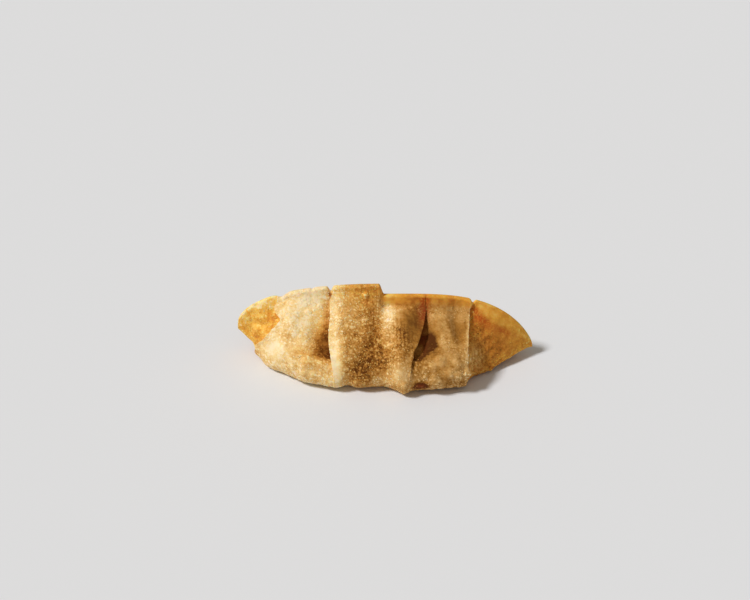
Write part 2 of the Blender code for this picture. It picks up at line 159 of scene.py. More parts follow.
def crest_place(x):
    reach = x / HALF_LENGTH
    return CREST_PLACE + np.where(x < 0, LEFT_BEND, RIGHT_BEND) * reach**2


def crest_half_thickness(x):
    reach = np.clip(np.abs(x) / HALF_LENGTH, 0.0, 1.0)
    return lerp(TIP_HALF_THICKNESS, RIM_HALF_THICKNESS, np.sqrt(1 - reach**RIM_TAPER_POWER))


print("crest height in the middle, mm:", round(float(crest_height(np.array(0.0))), 1))

# %% [markdown]
# Under the crest hangs the belly. Towards the two ends it goes flat and its base lifts off the pan,
# which leaves the thin ears. A lattice could bend the ends of a finished mesh upwards. Two small
# functions do it earlier: one tells how high the underside is and one how full the belly is.

# %% Ears and belly
# Underside of the ears above the ground: where it leaves the ground, height at the tip, power
LEFT_LIFT = (-35.0, 6.7, 1.4)
RIGHT_LIFT = (28.0, 2.9, 0.9)

# Where the front swells to its full belly and where it flattens into the ears
BELLY_LEFT = (-41.0, -28.0)
BELLY_RIGHT = (25.0, 31.0)


def underside(x):
    """Height of the base above the ground: nothing under the belly, rising under the ears."""
    start, rise, power = LEFT_LIFT
    left = rise * (np.clip(start - x, 0.0, None) / (start + HALF_LENGTH)) ** power
    start, rise, power = RIGHT_LIFT
    right = rise * (np.clip(x - start, 0.0, None) / (HALF_LENGTH - start)) ** power
    return left + right


def belly(x):
    return between(BELLY_LEFT, BELLY_RIGHT, x)


left_tip = float(underside(np.array(-HALF_LENGTH)))
print("base of the left tip above the ground, mm:", round(left_tip, 1))

# %% [markdown]
# Across the dumpling the section is a rounded purse: thin at the rim, hanging down into the belly,
# then tucked in to a flat base that browned in the pan. No two sections are alike, so one profile
# curve would not do. A function draws each with Bezier curves, and a number, the turn, runs round
# it. Its whole part counts the stretches: crest, pleated front, front foot, base, back foot, back.

# %% The section
# The turn at which the front, its foot and the base begin, and the one at which the ring closes
FRONT_TURN, FOOT_TURN, BASE_TURN, LAST_TURN = 1, 2, 3, 6

# How far the front stands out from the crest, at stations along the dumpling
FRONT_REACH = (
    (-45.0, 0.6), (-41.0, 1.6), (-39.0, 5.4), (-34.0, 11.0), (-27.0, 16.2), (-23.0, 18.4),
    (-12.0, 18.8), (-1.0, 18.8), (5.0, 20.6), (20.0, 19.4), (23.6, 18.2), (27.0, 13.4),
    (35.0, 7.2), (41.0, 3.0), (45.0, 0.6),
)

# The plain back
BACK_REACH = 12.5
BACK_HALF_LENGTH = 41.0
BACK_POWERS = (2.4, 0.7)

# Feet: height and depth of the rounding between the walls and the base, and the largest shares of
# the height and the width that they take
FRONT_FOOT = (5.0, 5.5)
EAR_FOOT = (1.6, 1.6)
BACK_FOOT_HEIGHT = 6.0
FOOT_SHARES = (0.3, 0.45)

# Fullness of the walls: how far they hang straight below the rim and rise straight from the feet
FRONT_HANG = (0.4, 0.36)
FRONT_STAND = 0.48
BACK_STAND = 0.45
BACK_HANG = 0.65

# Where the ears are flat, the pull points of the front divide a straight line in thirds
THIRDS = (1 / 3, 2 / 3)


def section(x, turn):
    """Y and Z of the plain section. The whole part of turn names the stretch of the ring."""
    top, bottom = crest_height(x), underside(x)
    half = crest_half_thickness(x)
    centre = crest_place(x)
    height = top - bottom
    front = np.maximum(along(x, FRONT_REACH), half)
    spread = np.clip(np.abs(x) / BACK_HALF_LENGTH, 0.0, 1.0)
    back = half + (BACK_REACH - RIM_HALF_THICKNESS) * (1 - spread ** BACK_POWERS[0]) ** BACK_POWERS[1]
    full = belly(x)
    most_rise, most_run = FOOT_SHARES[0] * height, FOOT_SHARES[1] * (front + back)
    foot_rise = np.minimum(lerp(EAR_FOOT[0], FRONT_FOOT[0], full), most_rise)
    foot_run = np.minimum(lerp(EAR_FOOT[1], FRONT_FOOT[1], full), most_run)
    back_rise = np.minimum(BACK_FOOT_HEIGHT, most_rise)
    back_run = np.minimum(back_rise, most_run)
    shoulder = top - half
    step = np.clip(turn - np.floor(turn), 0.0, 1.0)

    low = bottom + foot_rise
    straight_y = [lerp(-half, -front, third) for third in THIRDS]
    straight_z = [lerp(shoulder, low, third) for third in THIRDS]
    full_y = -half - FRONT_HANG[0], -front
    full_z = shoulder - FRONT_HANG[1] * height, low + FRONT_STAND * height
    face_y = [lerp(a, b, full) for a, b in zip(straight_y, full_y)]
    face_z = [lerp(a, b, full) for a, b in zip(straight_z, full_z)]
    lean = np.arctan2(-half - face_y[0], shoulder - face_z[0])
    face = (
        bezier(-half * np.cos(lean), face_y[0], face_y[1], -front, step),
        bezier(shoulder + half * np.sin(lean), face_z[0], face_z[1], low, step),
    )

    angle = (np.pi - lean) * step
    crest = (half * np.cos(angle), shoulder + half * np.sin(angle))

    quarter = 0.5 * np.pi * step
    foot = (-front + foot_run * (1 - np.cos(quarter)), bottom + foot_rise * (1 - np.sin(quarter)))
    base = (lerp(-front + foot_run, back - back_run, step), bottom)
    heel = (back - back_run * (1 - np.sin(quarter)), bottom + back_rise * (1 - np.cos(quarter)))
    waist = bottom + back_rise
    stand, hang = lerp(waist, shoulder, BACK_STAND), lerp(waist, shoulder, BACK_HANG)
    rear = (bezier(back, back, half, half, step), bezier(waist, stand, hang, shoulder, step))
    stretches = (crest, face, foot, base, heel, rear)
    which = [np.floor(turn) == i for i in range(len(stretches))]
    y = np.select(which, [np.broadcast_to(s[0], x.shape) for s in stretches])
    z = np.select(which, [np.broadcast_to(s[1], x.shape) for s in stretches])
    return y + centre, z


widest_y, _ = section(np.array(0.0), np.array(FOOT_TURN))
print("widest line of the middle section, y in mm:", round(float(widest_y), 1))

# %% [markdown]
# Folds and colours need to know how far down the front a point is, and both have to fade out over
# the crest and above the flat base. On a finished mesh a vertex group could hold such a weight. We
# have no mesh yet, so three short functions read it from the turn.

# %% Ways down and round
# The share of the way down the front is 0 at the crest, 1 at the widest line and this at the base
BASE_SHARE = 1.2

# Relief of the front fades in over the crest and out again above the flat base, between these turns
RELIEF_IN = (0.45, 1.0)
RELIEF_OUT = (2.3, 3.0)


def away_from_rim(turn):
    """Share of the way from the rim to the foot, down the front or down the back."""
    down_front = np.clip(turn - FRONT_TURN, 0.0, 1.0)
    return np.where(turn < BASE_TURN, down_front, np.clip(LAST_TURN - turn, 0.0, 1.0))


def way_down(turn):
    """Share of the way down the front: 0 over the crest and 1 at the widest line."""
    foot = np.clip(turn - FOOT_TURN, 0.0, 1.0)
    return np.clip(turn - FRONT_TURN, 0.0, 1.0) + (BASE_SHARE - 1) * foot


def front_weight(turn):
    """1 on the pleated front, fading out over the crest and to the flat base."""
    return between(RELIEF_IN, RELIEF_OUT, turn)


print("share of the way down where the base begins:", round(float(way_down(BASE_TURN)), 2))

# %% [markdown]
# The pleats are what makes a gyoza. Each one is a layer of dough that ends in an edge, and beside
# the edge is a hollow that the next layer dives into. Sculpting would do this by hand. Here a pleat
# is a line down the front with a few sizes, so any of the six can be moved or deepened alone.

# %% The pleats
# A pleat has the way its edge faces, the path of the edge, the lift of the upper layer and how far
# it reaches, the hollow beside it and its reach, the half width of the edge, its overhang, and how
# much and how far its lip rounds off. Paths, lifts and hollows are given at shares of the way down.
PLEATS = (
    {
        "faces": -1,
        "path": (
            (0.0, -32.6), (0.16, -32.8), (0.3, -31.6), (0.39, -30.3), (0.46, -31.3),
            (0.6, -34.2), (0.8, -38.0), (1.2, -39.6),
        ),
        "lift": ((0.0, 0.6), (0.2, 1.5), (0.4, 1.1), (0.6, 1.5), (0.85, 0.9), (1.2, 0.2)),
        "hollow": ((0.0, 0.4), (0.2, 1.1), (0.4, 1.7), (0.6, 1.1), (0.85, 0.3), (1.2, 0.0)),
        "reach": 5.0,
        "hollow reach": ((0.0, 4.0), (1.2, 4.0)),
        "edge": 0.5,
        "overhang": 0.7,
        "lip": (0.3, 1.2),
    },
    {
        "faces": -1,
        "path": ((0.0, -15.8), (0.14, -16.4), (0.3, -16.1), (0.6, -16.4), (0.86, -15.5), (1.2, -15.2)),
        "lift": ((0.0, 0.3), (0.12, 0.8), (0.5, 1.8), (0.75, 1.7), (1.0, 0.5), (1.2, 0.0)),
        "hollow": (
            (0.0, 0.3), (0.12, 0.5), (0.35, 1.1), (0.6, 3.3), (0.74, 3.1), (0.87, 0.6), (1.2, 0.0),
        ),
        "reach": 8.5,
        "hollow reach": ((0.0, 2.0), (0.3, 3.8), (0.6, 6.0), (0.8, 5.5), (1.2, 4.0)),
        "edge": 0.5,
        "overhang": 0.85,
        "lip": (1.1, 1.9),
    },
    {
        "faces": 1,
        "path": ((0.0, -0.4), (0.13, -1.6), (0.3, -3.2), (0.6, -3.8), (0.85, -2.8), (1.2, -2.4)),
        "lift": ((0.0, 0.0), (0.15, 0.3), (0.5, 0.4), (0.8, 0.2), (1.2, 0.0)),
        "hollow": ((0.0, 0.0), (0.15, 0.7), (0.4, 1.3), (0.7, 1.1), (0.95, 0.4), (1.2, 0.0)),
        "reach": 4.0,
        "hollow reach": ((0.0, 4.4), (1.2, 4.4)),
        "edge": 2.6,
        "overhang": 0.0,
        "lip": (0.0, 1.0),
    },
    {
        "faces": 1,
        "path": (
            (0.0, 12.1), (0.14, 11.9), (0.3, 11.4), (0.4, 10.8), (0.6, 9.1), (0.68, 8.0), (1.2, 7.2),
        ),
        "lift": ((0.0, 0.2), (0.15, 0.6), (0.4, 1.1), (0.65, 1.1), (0.8, 0.4), (1.2, 0.0)),
        "hollow": (
            (0.0, 0.3), (0.15, 1.4), (0.35, 2.3), (0.5, 2.7), (0.64, 2.5), (0.78, 0.8), (1.2, 0.0),
        ),
        "reach": 6.0,
        "hollow reach": ((0.0, 0.7), (0.2, 1.0), (0.33, 2.0), (0.48, 4.4), (0.62, 4.6), (0.78, 2.2)),
        "edge": 0.5,
        "overhang": 0.85,
        "lip": (0.9, 2.2),
    },
    {
        "faces": 1,
        "path": ((0.0, 19.4), (0.12, 19.6), (0.36, 20.2), (0.5, 21.0), (0.58, 21.8), (1.2, 23.0)),
        "lift": ((0.0, 0.0), (0.12, 0.2), (0.45, 0.5), (0.62, 0.1), (0.75, 0.0), (1.2, 0.0)),
        "hollow": (
            (0.0, 0.0), (0.12, 0.3), (0.25, 0.9), (0.45, 1.1), (0.56, 0.8), (0.66, 0.0), (1.2, 0.0),
        ),
        "reach": 3.0,
        "hollow reach": ((0.0, 3.2), (0.3, 4.2), (0.5, 4.2), (0.6, 3.0), (1.2, 2.0)),
        "edge": 1.7,
        "overhang": 0.0,
        "lip": (0.0, 1.0),
    },
    {
        "faces": 1,
        "path": ((0.0, 26.2), (0.12, 25.5), (0.3, 25.2), (0.51, 24.9), (0.71, 24.4), (1.2, 24.2)),
        "lift": ((0.0, 0.5), (0.3, 0.8), (0.8, 0.6), (1.2, 0.3)),
        "hollow": ((0.0, 0.4), (0.3, 0.8), (0.8, 0.7), (1.2, 0.3)),
        "reach": 2.0,
        "hollow reach": ((0.0, 5.0), (1.2, 5.0)),
        "edge": 0.4,
        "overhang": 0.45,
        "lip": (0.25, 1.0),
    },
)

print("pleats:", len(PLEATS))

# %% [markdown]
# One function turns those sizes into form. The skin is lifted on one side of the line and sunk on
# the other, and the edge itself is shifted sideways so that it overhangs its hollow and throws a
# real shadow. Moving points outwards only, as a displacement map does, could not overhang.

# %% Relief of the pleats
# A pleat whose lift and hollow add up to this overhangs and rounds off all it can
FULL_CURL = 2.0


def pleat_relief(x, down):
    """Height of the pleats over the plain section and the sideways shift of their edges."""
    height = np.zeros_like(x)
    shift = np.zeros_like(x)
    for pleat in PLEATS:
        beyond = pleat["faces"] * (x - along(down, pleat["path"]))
        lift = along(down, pleat["lift"])
        hollow = along(down, pleat["hollow"])
        hollow_reach = along(down, pleat["hollow reach"])
        edge = pleat["edge"]
        share = smooth(-edge, edge, beyond)
        curl = np.clip((lift + hollow) / FULL_CURL, 0.0, 1.0)
        drop, roundness = pleat["lip"]
        raised = lift * bell(np.minimum(beyond, 0.0), pleat["reach"])
        raised = raised - drop * curl * bell(beyond, roundness)
        sunk = -hollow * bell(np.maximum(beyond, 0.0), hollow_reach)
        height += lerp(raised, sunk, share)
        turned = beyond / edge
        shift -= pleat["faces"] * pleat["overhang"] * curl * turned * np.exp(0.5 - 0.5 * turned**2)
    return height, shift


print("pleats that overhang:", sum(pleat["overhang"] > 0 for pleat in PLEATS))

# %% [markdown]
# Filling pushes the dough out in broad swellings. A soft groove runs under the pressed flange, a
# furrow crosses the left ear, and fine folds fan out low on the right ear. Proportional editing
# would pull them out by hand. We list them as soft spots instead, because one short function then
# adds up any such list, and the darker and paler places of the dough can be listed the same way.

# %% Swellings and furrows
# Broad swellings (positive) and valleys (negative) of the front: place along, share of the way
# down, half width along, half width down, height and, where the spot slants, how far its place
# moves along per share down
SWELLINGS = (
    (-27.5, 0.3, 4.2, 0.26, 1.6, -6.0),
    (-33.0, 0.85, 6.0, 0.3, 1.0),
    (-11.0, 0.45, 5.0, 0.45, 0.4),
    (4.6, 0.34, 4.6, 0.2, 2.3),
    (3.0, 0.13, 5.0, 0.05, -0.7),
    (5.0, 0.75, 3.6, 0.3, 1.4, 2.0),
    (2.5, 0.56, 3.6, 0.09, -0.6),
    (-6.5, 0.83, 4.0, 0.12, -0.7),
    (5.7, 1.08, 1.5, 0.10, 1.1),
    (16.6, 0.3, 2.6, 0.3, 0.6, 2.5),
    (19.0, 0.85, 5.5, 0.18, 1.0),
    (-15.5, 1.04, 3.0, 0.10, 1.1),
    (-11.3, 1.06, 1.4, 0.10, -0.9),
    (-6.5, 1.02, 2.6, 0.10, 0.6),
)

# The pressed flange under the crest and the soft groove where the belly swells out below it
FLANGE_SHARE = 0.13
FLANGE_HALF_WIDTH = 0.06
FLANGE_GROOVE = 0.3
FLANGE_LEFT = (-1.0, 2.0)
FLANGE_RIGHT = (22.0, 27.0)

# The groove across the left ear: share of the way down, half width, depth, and where it starts
# and ends along
EAR_GROOVE = (0.42, 0.08, 0.6)
EAR_GROOVE_LEFT = (-46.0, -38.0)
EAR_GROOVE_RIGHT = (-36.0, -32.0)

# Fine pleats fanning out low on the right ear: place, half spreads, spacing, slant, depth
EAR_FAN = ((29.5, 0.78), (3.6, 0.25), 2.3, 0.55, 0.22)


def soft_spot(x, down, place, share, half_along, half_down, strength, slant=0.0):
    """A spot of this strength that fades out all round. Its place moves along by the slant."""
    centre = place + slant * (down - share)
    return strength * bell(x - centre, half_along) * bell(down - share, half_down)


def field(spots, x, down):
    """The soft spots of a list added up over the front."""
    total = np.zeros_like(x)
    for spot in spots:
        total += soft_spot(x, down, *spot)
    return total


def swelling_relief(x, down, along_front):
    height = field(SWELLINGS, x, down)
    ends = between(FLANGE_LEFT, FLANGE_RIGHT, x)
    height -= FLANGE_GROOVE * ends * bell(down - FLANGE_SHARE, FLANGE_HALF_WIDTH)
    share, half_down, depth = EAR_GROOVE
    ends = between(EAR_GROOVE_LEFT, EAR_GROOVE_RIGHT, x)
    height -= depth * ends * bell(down - share, half_down)
    (place, share), (half_along, half_down), spacing, slant, depth = EAR_FAN
    across = x * np.cos(slant) + along_front * np.sin(slant)
    fan = bell(x - place, half_along) * bell(down - share, half_down)
    return height + depth * fan * np.sin(2 * np.pi * across / spacing)


print("swellings and valleys:", len(SWELLINGS))

# %% [markdown]
# No hand rolls dough perfectly even. A noise texture could make it uneven, but the plain solid was
# made outside Blender, and its skin has to have the very same bumps. So we use what both places
# have: slow sine waves that cross at seeded angles, calm near the rim and stronger on the back.

# %% Uneven dough
SEED = 11

# Uneven dough: waves of these lengths and this height, crossing at seeded angles, calm near the rim
LUMP_LENGTHS = (4.0, 11.0)
LUMP_HEIGHT = 0.035
LUMP_WAVES = 14
CALM_SHARE = (0.05, 0.35)

# The plain back is uneven too, in the front's pattern: how many times higher and longer its waves
# are, the length of its wall and the place where it starts in the pattern. It is calm at the heel
# and at the rim, between these turns
BACK_LUMPS_HIGHER = 3.0
BACK_LUMPS_LONGER = 2.4
BACK_WALL = 26.0
BACK_LUMPS_START = 31.0
BACK_RELIEF_IN = (4.2, 5.0)
BACK_RELIEF_OUT = (5.5, 6.0)


def lump_relief(x, along_front):
    rng = np.random.default_rng(SEED)
    height = np.zeros_like(x)
    for _ in range(LUMP_WAVES):
        length = rng.uniform(*LUMP_LENGTHS)
        angle = rng.uniform(0, np.pi)
        phase = rng.uniform(0, 2 * np.pi)
        across = x * np.cos(angle) + along_front * np.sin(angle)
        height += np.sin(2 * np.pi * across / length + phase)
    return LUMP_HEIGHT * height


def back_relief(x, turn):
    """Slow waves on the plain back, calm at the heel and at the rim."""
    wall = between(BACK_RELIEF_IN, BACK_RELIEF_OUT, turn)
    across, up = x / BACK_LUMPS_LONGER, BACK_WALL * turn / BACK_LUMPS_LONGER
    return BACK_LUMPS_HIGHER * wall * lump_relief(across + BACK_LUMPS_START, up)


print("crossing waves:", LUMP_WAVES)

# %% [markdown]
# Where steam was caught under the skin it rose in large blisters. Most are shallow domes that a
# seeded draw strews over a few fields of the front. Those that catch the eye are placed one by one
# and stand up steeply. Metaballs could make them, but a dome by formula adds up with all the rest.

# %% Large blisters
# Fry blisters: fields of domes by place along, way down, half spreads, count and radius range
BLISTER_FIELDS = (
    ((-26.0, 14.0), (9.0, 9.0), 7, (0.7, 1.3)),
    ((-8.0, 13.0), (8.0, 10.0), 7, (0.7, 1.3)),
    ((19.0, 23.0), (6.5, 5.0), 15, (1.0, 1.9)),
    ((30.0, 15.0), (4.0, 5.0), 8, (0.8, 1.4)),
    ((-5.9, 2.4), (0.01, 0.01), 1, (1.2, 1.3)),
)
BLISTER_RISE = 0.28

# Single blisters that stand out: place along, share down, radius and height
LONE_BLISTERS = (
    (-5.9, 0.068, 0.9, 0.55),
    (-2.5, 0.355, 0.7, 0.25),
    (16.4, 0.79, 1.5, 0.24),
    (20.4, 0.75, 1.6, 0.24),
    (12.0, 0.78, 0.8, 0.22),
    (18.2, 0.92, 1.2, 0.20),
    (21.5, 0.955, 1.0, 0.18),
    (23.2, 0.88, 0.9, 0.20),
    (14.3, 0.91, 1.0, 0.20),
    (12.0, 0.93, 0.9, 0.28),
    (7.4, 0.90, 0.8, 0.25),
    (5.6, 1.0, 0.9, 0.30),
    (-27.6, 0.97, 1.1, 0.32),
    (-24.4, 0.975, 0.9, 0.34),
    (-21.6, 0.97, 1.0, 0.34),
    (-19.2, 0.965, 0.7, 0.30),
    (23.6, 0.95, 1.1, 0.40),
    (25.8, 0.93, 0.9, 0.36),
)


def blister_relief(x, along_front):
    rng = np.random.default_rng(SEED + 1)
    height = np.zeros_like(x)
    for centre, spread, count, radii in BLISTER_FIELDS:
        for _ in range(count):
            place = centre[0] + rng.uniform(-1, 1) * spread[0]
            down = centre[1] + rng.uniform(-1, 1) * spread[1]
            radius = rng.uniform(*radii)
            distance = np.hypot(x - place, along_front - down) / radius
            height += BLISTER_RISE * radius * np.clip(1 - distance**2, 0.0, None)
    return height


def lone_blister_relief(x, down, front_length):
    """The single blisters, which stand up steeply from their rims."""
    total = np.zeros_like(x)
    for place, share, radius, height in LONE_BLISTERS:
        away = np.hypot(x - place, (down - share) * front_length) / radius
        total += height * np.sqrt(np.clip(1 - away**2, 0, 1))
    return total


strewn_blisters = sum(count for _, _, count, _ in BLISTER_FIELDS)
print("large blisters:", strewn_blisters, "strewn and", len(LONE_BLISTERS), "placed")

# %% [markdown]
# Now the rings of points. They crowd together where a pleat edge passes and follow it down the
# front, so a crisp edge costs few faces. Subdividing the whole mesh as finely would cost far more.

# %% Rings of points
# The plain solid's own grid: rings, and points of a ring on each stretch
RINGS = 118
RING_POINTS = {"crest": 5, "front": 25, "front foot": 5, "base": 3, "back foot": 4, "back": 8}

# The skin's finer grid
SKIN_RINGS = 420
SKIN_POINTS = {"crest": 12, "front": 150, "front foot": 26, "base": 6, "back foot": 6, "back": 34}

# Where rings crowd together: place along, half width and how many times denser, and the same for
# the tips, from this share of the length on
EXTRA_RINGS = (
    (-32.6, 1.3, 1.8), (-15.8, 1.1, 3.4), (-0.4, 2.0, 1.0),
    (12.1, 1.1, 3.4), (19.4, 1.2, 0.9), (26.2, 0.9, 2.4),
)
TIP_EXTRA_RINGS = (0.93, 1.5)
RING_SEARCH_STEPS = 4001


def ring_turns(counts):
    """Places round the ring, by the count of points on each stretch."""
    return np.concatenate([i + np.arange(n) / n for i, n in enumerate(counts.values())])


def ring_places(count, down):
    """X of every ring at every share down the front, crowded at the pleat edges they follow."""
    fine = np.linspace(-HALF_LENGTH, HALF_LENGTH, RING_SEARCH_STEPS)
    density = np.ones_like(fine)
    for place, half_width, extra in EXTRA_RINGS:
        density += extra * bell(fine - place, half_width)
    tips = np.abs(fine) / HALF_LENGTH
    density += TIP_EXTRA_RINGS[1] * smooth(TIP_EXTRA_RINGS[0], 1.0, tips)
    total = np.concatenate([[0.0], np.cumsum(0.5 * (density[1:] + density[:-1]))])
    nominal = np.interp(np.linspace(0, total[-1], count), total, fine)
    anchors = [-HALF_LENGTH] + [p["path"][0][1] for p in PLEATS] + [HALF_LENGTH]
    moved = [np.full_like(down, -HALF_LENGTH)] + [along(down, p["path"]) for p in PLEATS]
    moved.append(np.full_like(down, HALF_LENGTH))
    places = np.empty((count, len(down)))
    for j in range(len(down)):
        places[:, j] = np.interp(nominal, anchors, [m[j] for m in moved])
    return places


print("rings of the skin:", SKIN_RINGS, "with points:", sum(SKIN_POINTS.values()))

# %% [markdown]
# All relief stands out from the plain section along the way that it faces. The grid keeps its own
# notes too: where each point is along, how far down the front, how deep a pleat's hollow is and how
# high a blister stands there. The browning reads those. The solid was moved so that its box is in
# the middle, so we work out its coarse grid as well, to move the skin by the same amount.

# %% The surface
# The way down in millimetres is about this share of the height and the reach together
ARC_FACTOR = 0.62

# Small steps along and round the dumpling that tell which way its plain section faces
STEP_ALONG = 0.25
STEP_ROUND = 0.01
LAST_TURN_SHARE = 0.9999


def outward(x, turn):
    """Unit normal of the plain section, by small steps along and round the dumpling."""
    left = np.maximum(x - STEP_ALONG, -HALF_LENGTH)
    right = np.minimum(x + STEP_ALONG, HALF_LENGTH)
    whole = np.floor(turn)
    before = np.maximum(turn - STEP_ROUND, whole)
    after = np.minimum(turn + STEP_ROUND, whole + LAST_TURN_SHARE)
    left_y, left_z = section(left, turn)
    right_y, right_z = section(right, turn)
    before_y, before_z = section(x, before)
    after_y, after_z = section(x, after)
    lengthways = np.stack([right - left, right_y - left_y, right_z - left_z], -1)
    roundwise = np.stack([np.zeros_like(x), after_y - before_y, after_z - before_z], -1)
    normal = np.cross(roundwise, lengthways)
    return normal / np.linalg.norm(normal, axis=-1, keepdims=True)


def gyoza_grid(rings, counts, skin=False):
    """Points of the surface, rings by places round the ring, and the notes about each point.

    Only the skin has the single blisters.
    """
    turn_row = ring_turns(counts)
    slanted = ring_places(rings, way_down(turn_row))
    upright = ring_places(rings, np.zeros_like(turn_row))
    x = lerp(slanted, upright, np.clip(turn_row - BASE_TURN, 0.0, 1.0))
    turn = np.broadcast_to(turn_row, x.shape)
    down = way_down(turn)
    y, z = section(x, turn)
    normal = outward(x, turn)
    front_length = ARC_FACTOR * (crest_height(x) - underside(x) + along(x, FRONT_REACH))
    along_front = down * front_length
    pleats, shift = pleat_relief(x, down)
    relief = pleats + swelling_relief(x, down, along_front)
    blisters = blister_relief(x, along_front) + skin * lone_blister_relief(x, down, front_length)
    relief += lump_relief(x, along_front) * smooth(*CALM_SHARE, down) + blisters
    slim = smooth(0.0, TIP_CALM, HALF_LENGTH - np.abs(x))
    weight = front_weight(turn) * slim
    relief = relief * weight + back_relief(x, turn) * slim
    z = z + rim_rise(x, away_from_rim(turn)) * slim
    points = np.stack([x + shift * weight, y, z], -1) + normal * relief[..., None]
    grid_notes = {"x": x, "turn": turn, "down": down, "hollow": np.clip(-pleats, 0.0, None)}
    return points, {**grid_notes, "raised": blisters * weight}


solid_points, _ = gyoza_grid(RINGS, RING_POINTS)
middle = 0.5 * (solid_points[..., :2].min((0, 1)) + solid_points[..., :2].max((0, 1)))
skin_points, notes = gyoza_grid(SKIN_RINGS, SKIN_POINTS, skin=True)
skin_points[..., :2] -= middle
print("skin grid:", skin_points.shape[:2], "moved by mm:", middle.round(2))

# %% [markdown]
# Frying colours dough unevenly, and one number tells most of it: how far the dough has browned, from
# cream through gold to dark brown. We give every point that number, from the same places along and
# down that shaped the dough, so that colour and form agree: lips and bulges are paler, partly as
# painted highlights, and hollows, valleys and flanks turned from the lamp are darker, partly browner
# and partly as painted shade. A painted image would do it too, but numbers stay sharp at any size
# and travel with the mesh.

# %% How far the dough has browned, with painted light and shade
# How far the front has browned in general, at stations along the dumpling
BROWNED_ALONG = (
    (-45.0, 0.34), (-34.0, 0.27), (-32.0, 0.18), (-24.0, 0.16), (-17.0, 0.24), (-14.5, 0.30),
    (-11.0, 0.45), (-5.0, 0.57), (-1.5, 0.56), (1.0, 0.46), (6.0, 0.64), (12.0, 0.62),
    (16.0, 0.62), (24.0, 0.58), (26.0, 0.59), (34.0, 0.55), (45.0, 0.44),
)

# Darker and paler fields: place along, share down, half width along, half width down, how much the
# number changes and, where the spot slants, how far its place moves along per share down
# Many darker spots are painted shade over browner dough: the fold and hollow left of the pleat near
# -16 mm, the valley near -3 to 0 mm, the side of the bulge turned from the lamp near 4 to 9 mm, the
# slot and hollow right of the pleat near 12 mm and the recess near 22 mm. The rest are browner dough.
DARKER_AND_PAINTED_SHADE = (
    (-25.0, 0.78, 7.5, 0.11, 0.17),
    (-17.6, 0.26, 1.2, 0.18, 0.26),
    (-16.4, 0.05, 0.7, 0.07, 0.35),
    (-24.0, 0.98, 7.0, 0.10, 0.20),
    (-31.0, 0.16, 2.4, 0.12, 0.08),
    (-5.2, 0.84, 4.8, 0.13, 0.27),
    (-7.0, 0.99, 5.0, 0.07, 0.22),
    (-11.5, 0.62, 2.4, 0.16, 0.08),
    (0.3, 0.80, 2.4, 0.11, 0.16),
    (-2.8, 0.48, 2.6, 0.14, 0.05, 6.0),
    (-3.5, 0.66, 3.0, 0.09, 0.13),
    (-20.0, 0.82, 3.0, 0.08, 0.11),
    (11.6, 0.22, 0.8, 0.10, 0.20),
    (-9.0, 0.58, 3.0, 0.12, 0.07),
    (4.6, 0.57, 4.6, 0.14, 0.11),
    (3.7, 0.44, 1.5, 0.08, 0.20),
    (8.8, 0.32, 2.4, 0.26, 0.17, -4.0),
    (12.9, 0.53, 2.1, 0.10, 0.95, 8.0),
    (13.4, 0.40, 1.1, 0.08, 0.18, 6.0),
    (10.9, 0.70, 1.4, 0.07, 0.30, -10.0),
    (10.7, 0.68, 1.7, 0.12, 0.16, -14.0),
    (23.4, 0.49, 1.0, 0.12, 0.12, -2.0),
    (22.3, 0.40, 2.0, 0.20, 0.10, 1.0),
    (10.5, 1.03, 1.7, 0.030, 0.85, -1.0),
    (-29.0, 0.62, 1.4, 0.07, 0.22),
    (-36.2, 0.30, 2.8, 0.05, 0.10),
    (33.0, 0.70, 5.0, 0.24, 0.18),
    (28.6, 0.35, 2.2, 0.08, 0.19),
    (-40.0, 0.80, 4.0, 0.20, 0.14),
    (19.5, 0.42, 0.5, 0.16, 0.10, 8.0),
    (-8.6, 0.89, 1.8, 0.06, 0.16),
    (-36.3, 0.42, 3.4, 0.07, 0.15),
)

# Some paler spots are painted highlights on lit places: the lip near -14 mm, the lit side of the bulge
# near -1 to 1 mm, the lone blister at -6 mm and the thin lip near 25 mm. Two paint light into shade:
# the slot near 11 mm and the notch beside the lip at 26 mm. The rest are paler dough.
PALER_AND_PAINTED_LIGHT = (
    (-14.3, 0.86, 1.9, 0.20, 0.34, 1.0),
    (-14.8, 0.35, 1.2, 0.30, 0.16),
    (-12.0, 1.02, 6.0, 0.10, 0.08),
    (-9.6, 0.86, 1.6, 0.06, 0.10),
    (-1.0, 0.43, 1.4, 0.10, 0.16, 4.0),
    (-5.9, 0.068, 0.8, 0.035, 0.35),
    (0.9, 0.23, 2.2, 0.15, 0.37, 2.0),
    (4.4, 0.17, 1.7, 0.09, 0.16),
    (4.8, 0.90, 2.8, 0.12, 0.28, 2.0),
    (-22.0, 0.12, 5.0, 0.14, 0.16),
    (-33.0, 0.80, 4.0, 0.14, 0.16),
    (-2.0, 1.00, 3.6, 0.07, 0.24),
    (7.3, 0.94, 1.6, 0.06, 0.18),
    (16.8, 0.58, 1.6, 0.10, 0.15, 10.0),
    (-27.0, 0.40, 4.0, 0.22, 0.06),
    (35.0, 0.12, 6.5, 0.14, 0.13, 25.0),
    (41.5, 0.28, 3.2, 0.18, 0.22),
    (24.6, 0.45, 0.4, 0.40, 0.28, -2.0),
    (-39.0, 0.00, 6.0, 0.08, 0.20),
    (26.0, 0.25, 0.9, 0.24, 0.26),
    (24.0, 0.80, 1.6, 0.10, 0.12),
    (26.4, 0.84, 1.8, 0.10, 0.16),
    (9.9, 0.08, 1.0, 0.06, 0.20),
    (29.5, 0.05, 3.0, 0.09, 0.14),
    (11.3, 0.54, 1.0, 0.15, 0.36, -8.0),
    (-41.8, 0.42, 2.0, 0.14, 0.10),
    (-35.5, 0.10, 1.6, 0.08, 0.10),
    (17.5, 0.30, 1.9, 0.24, 0.10, 2.0),
)

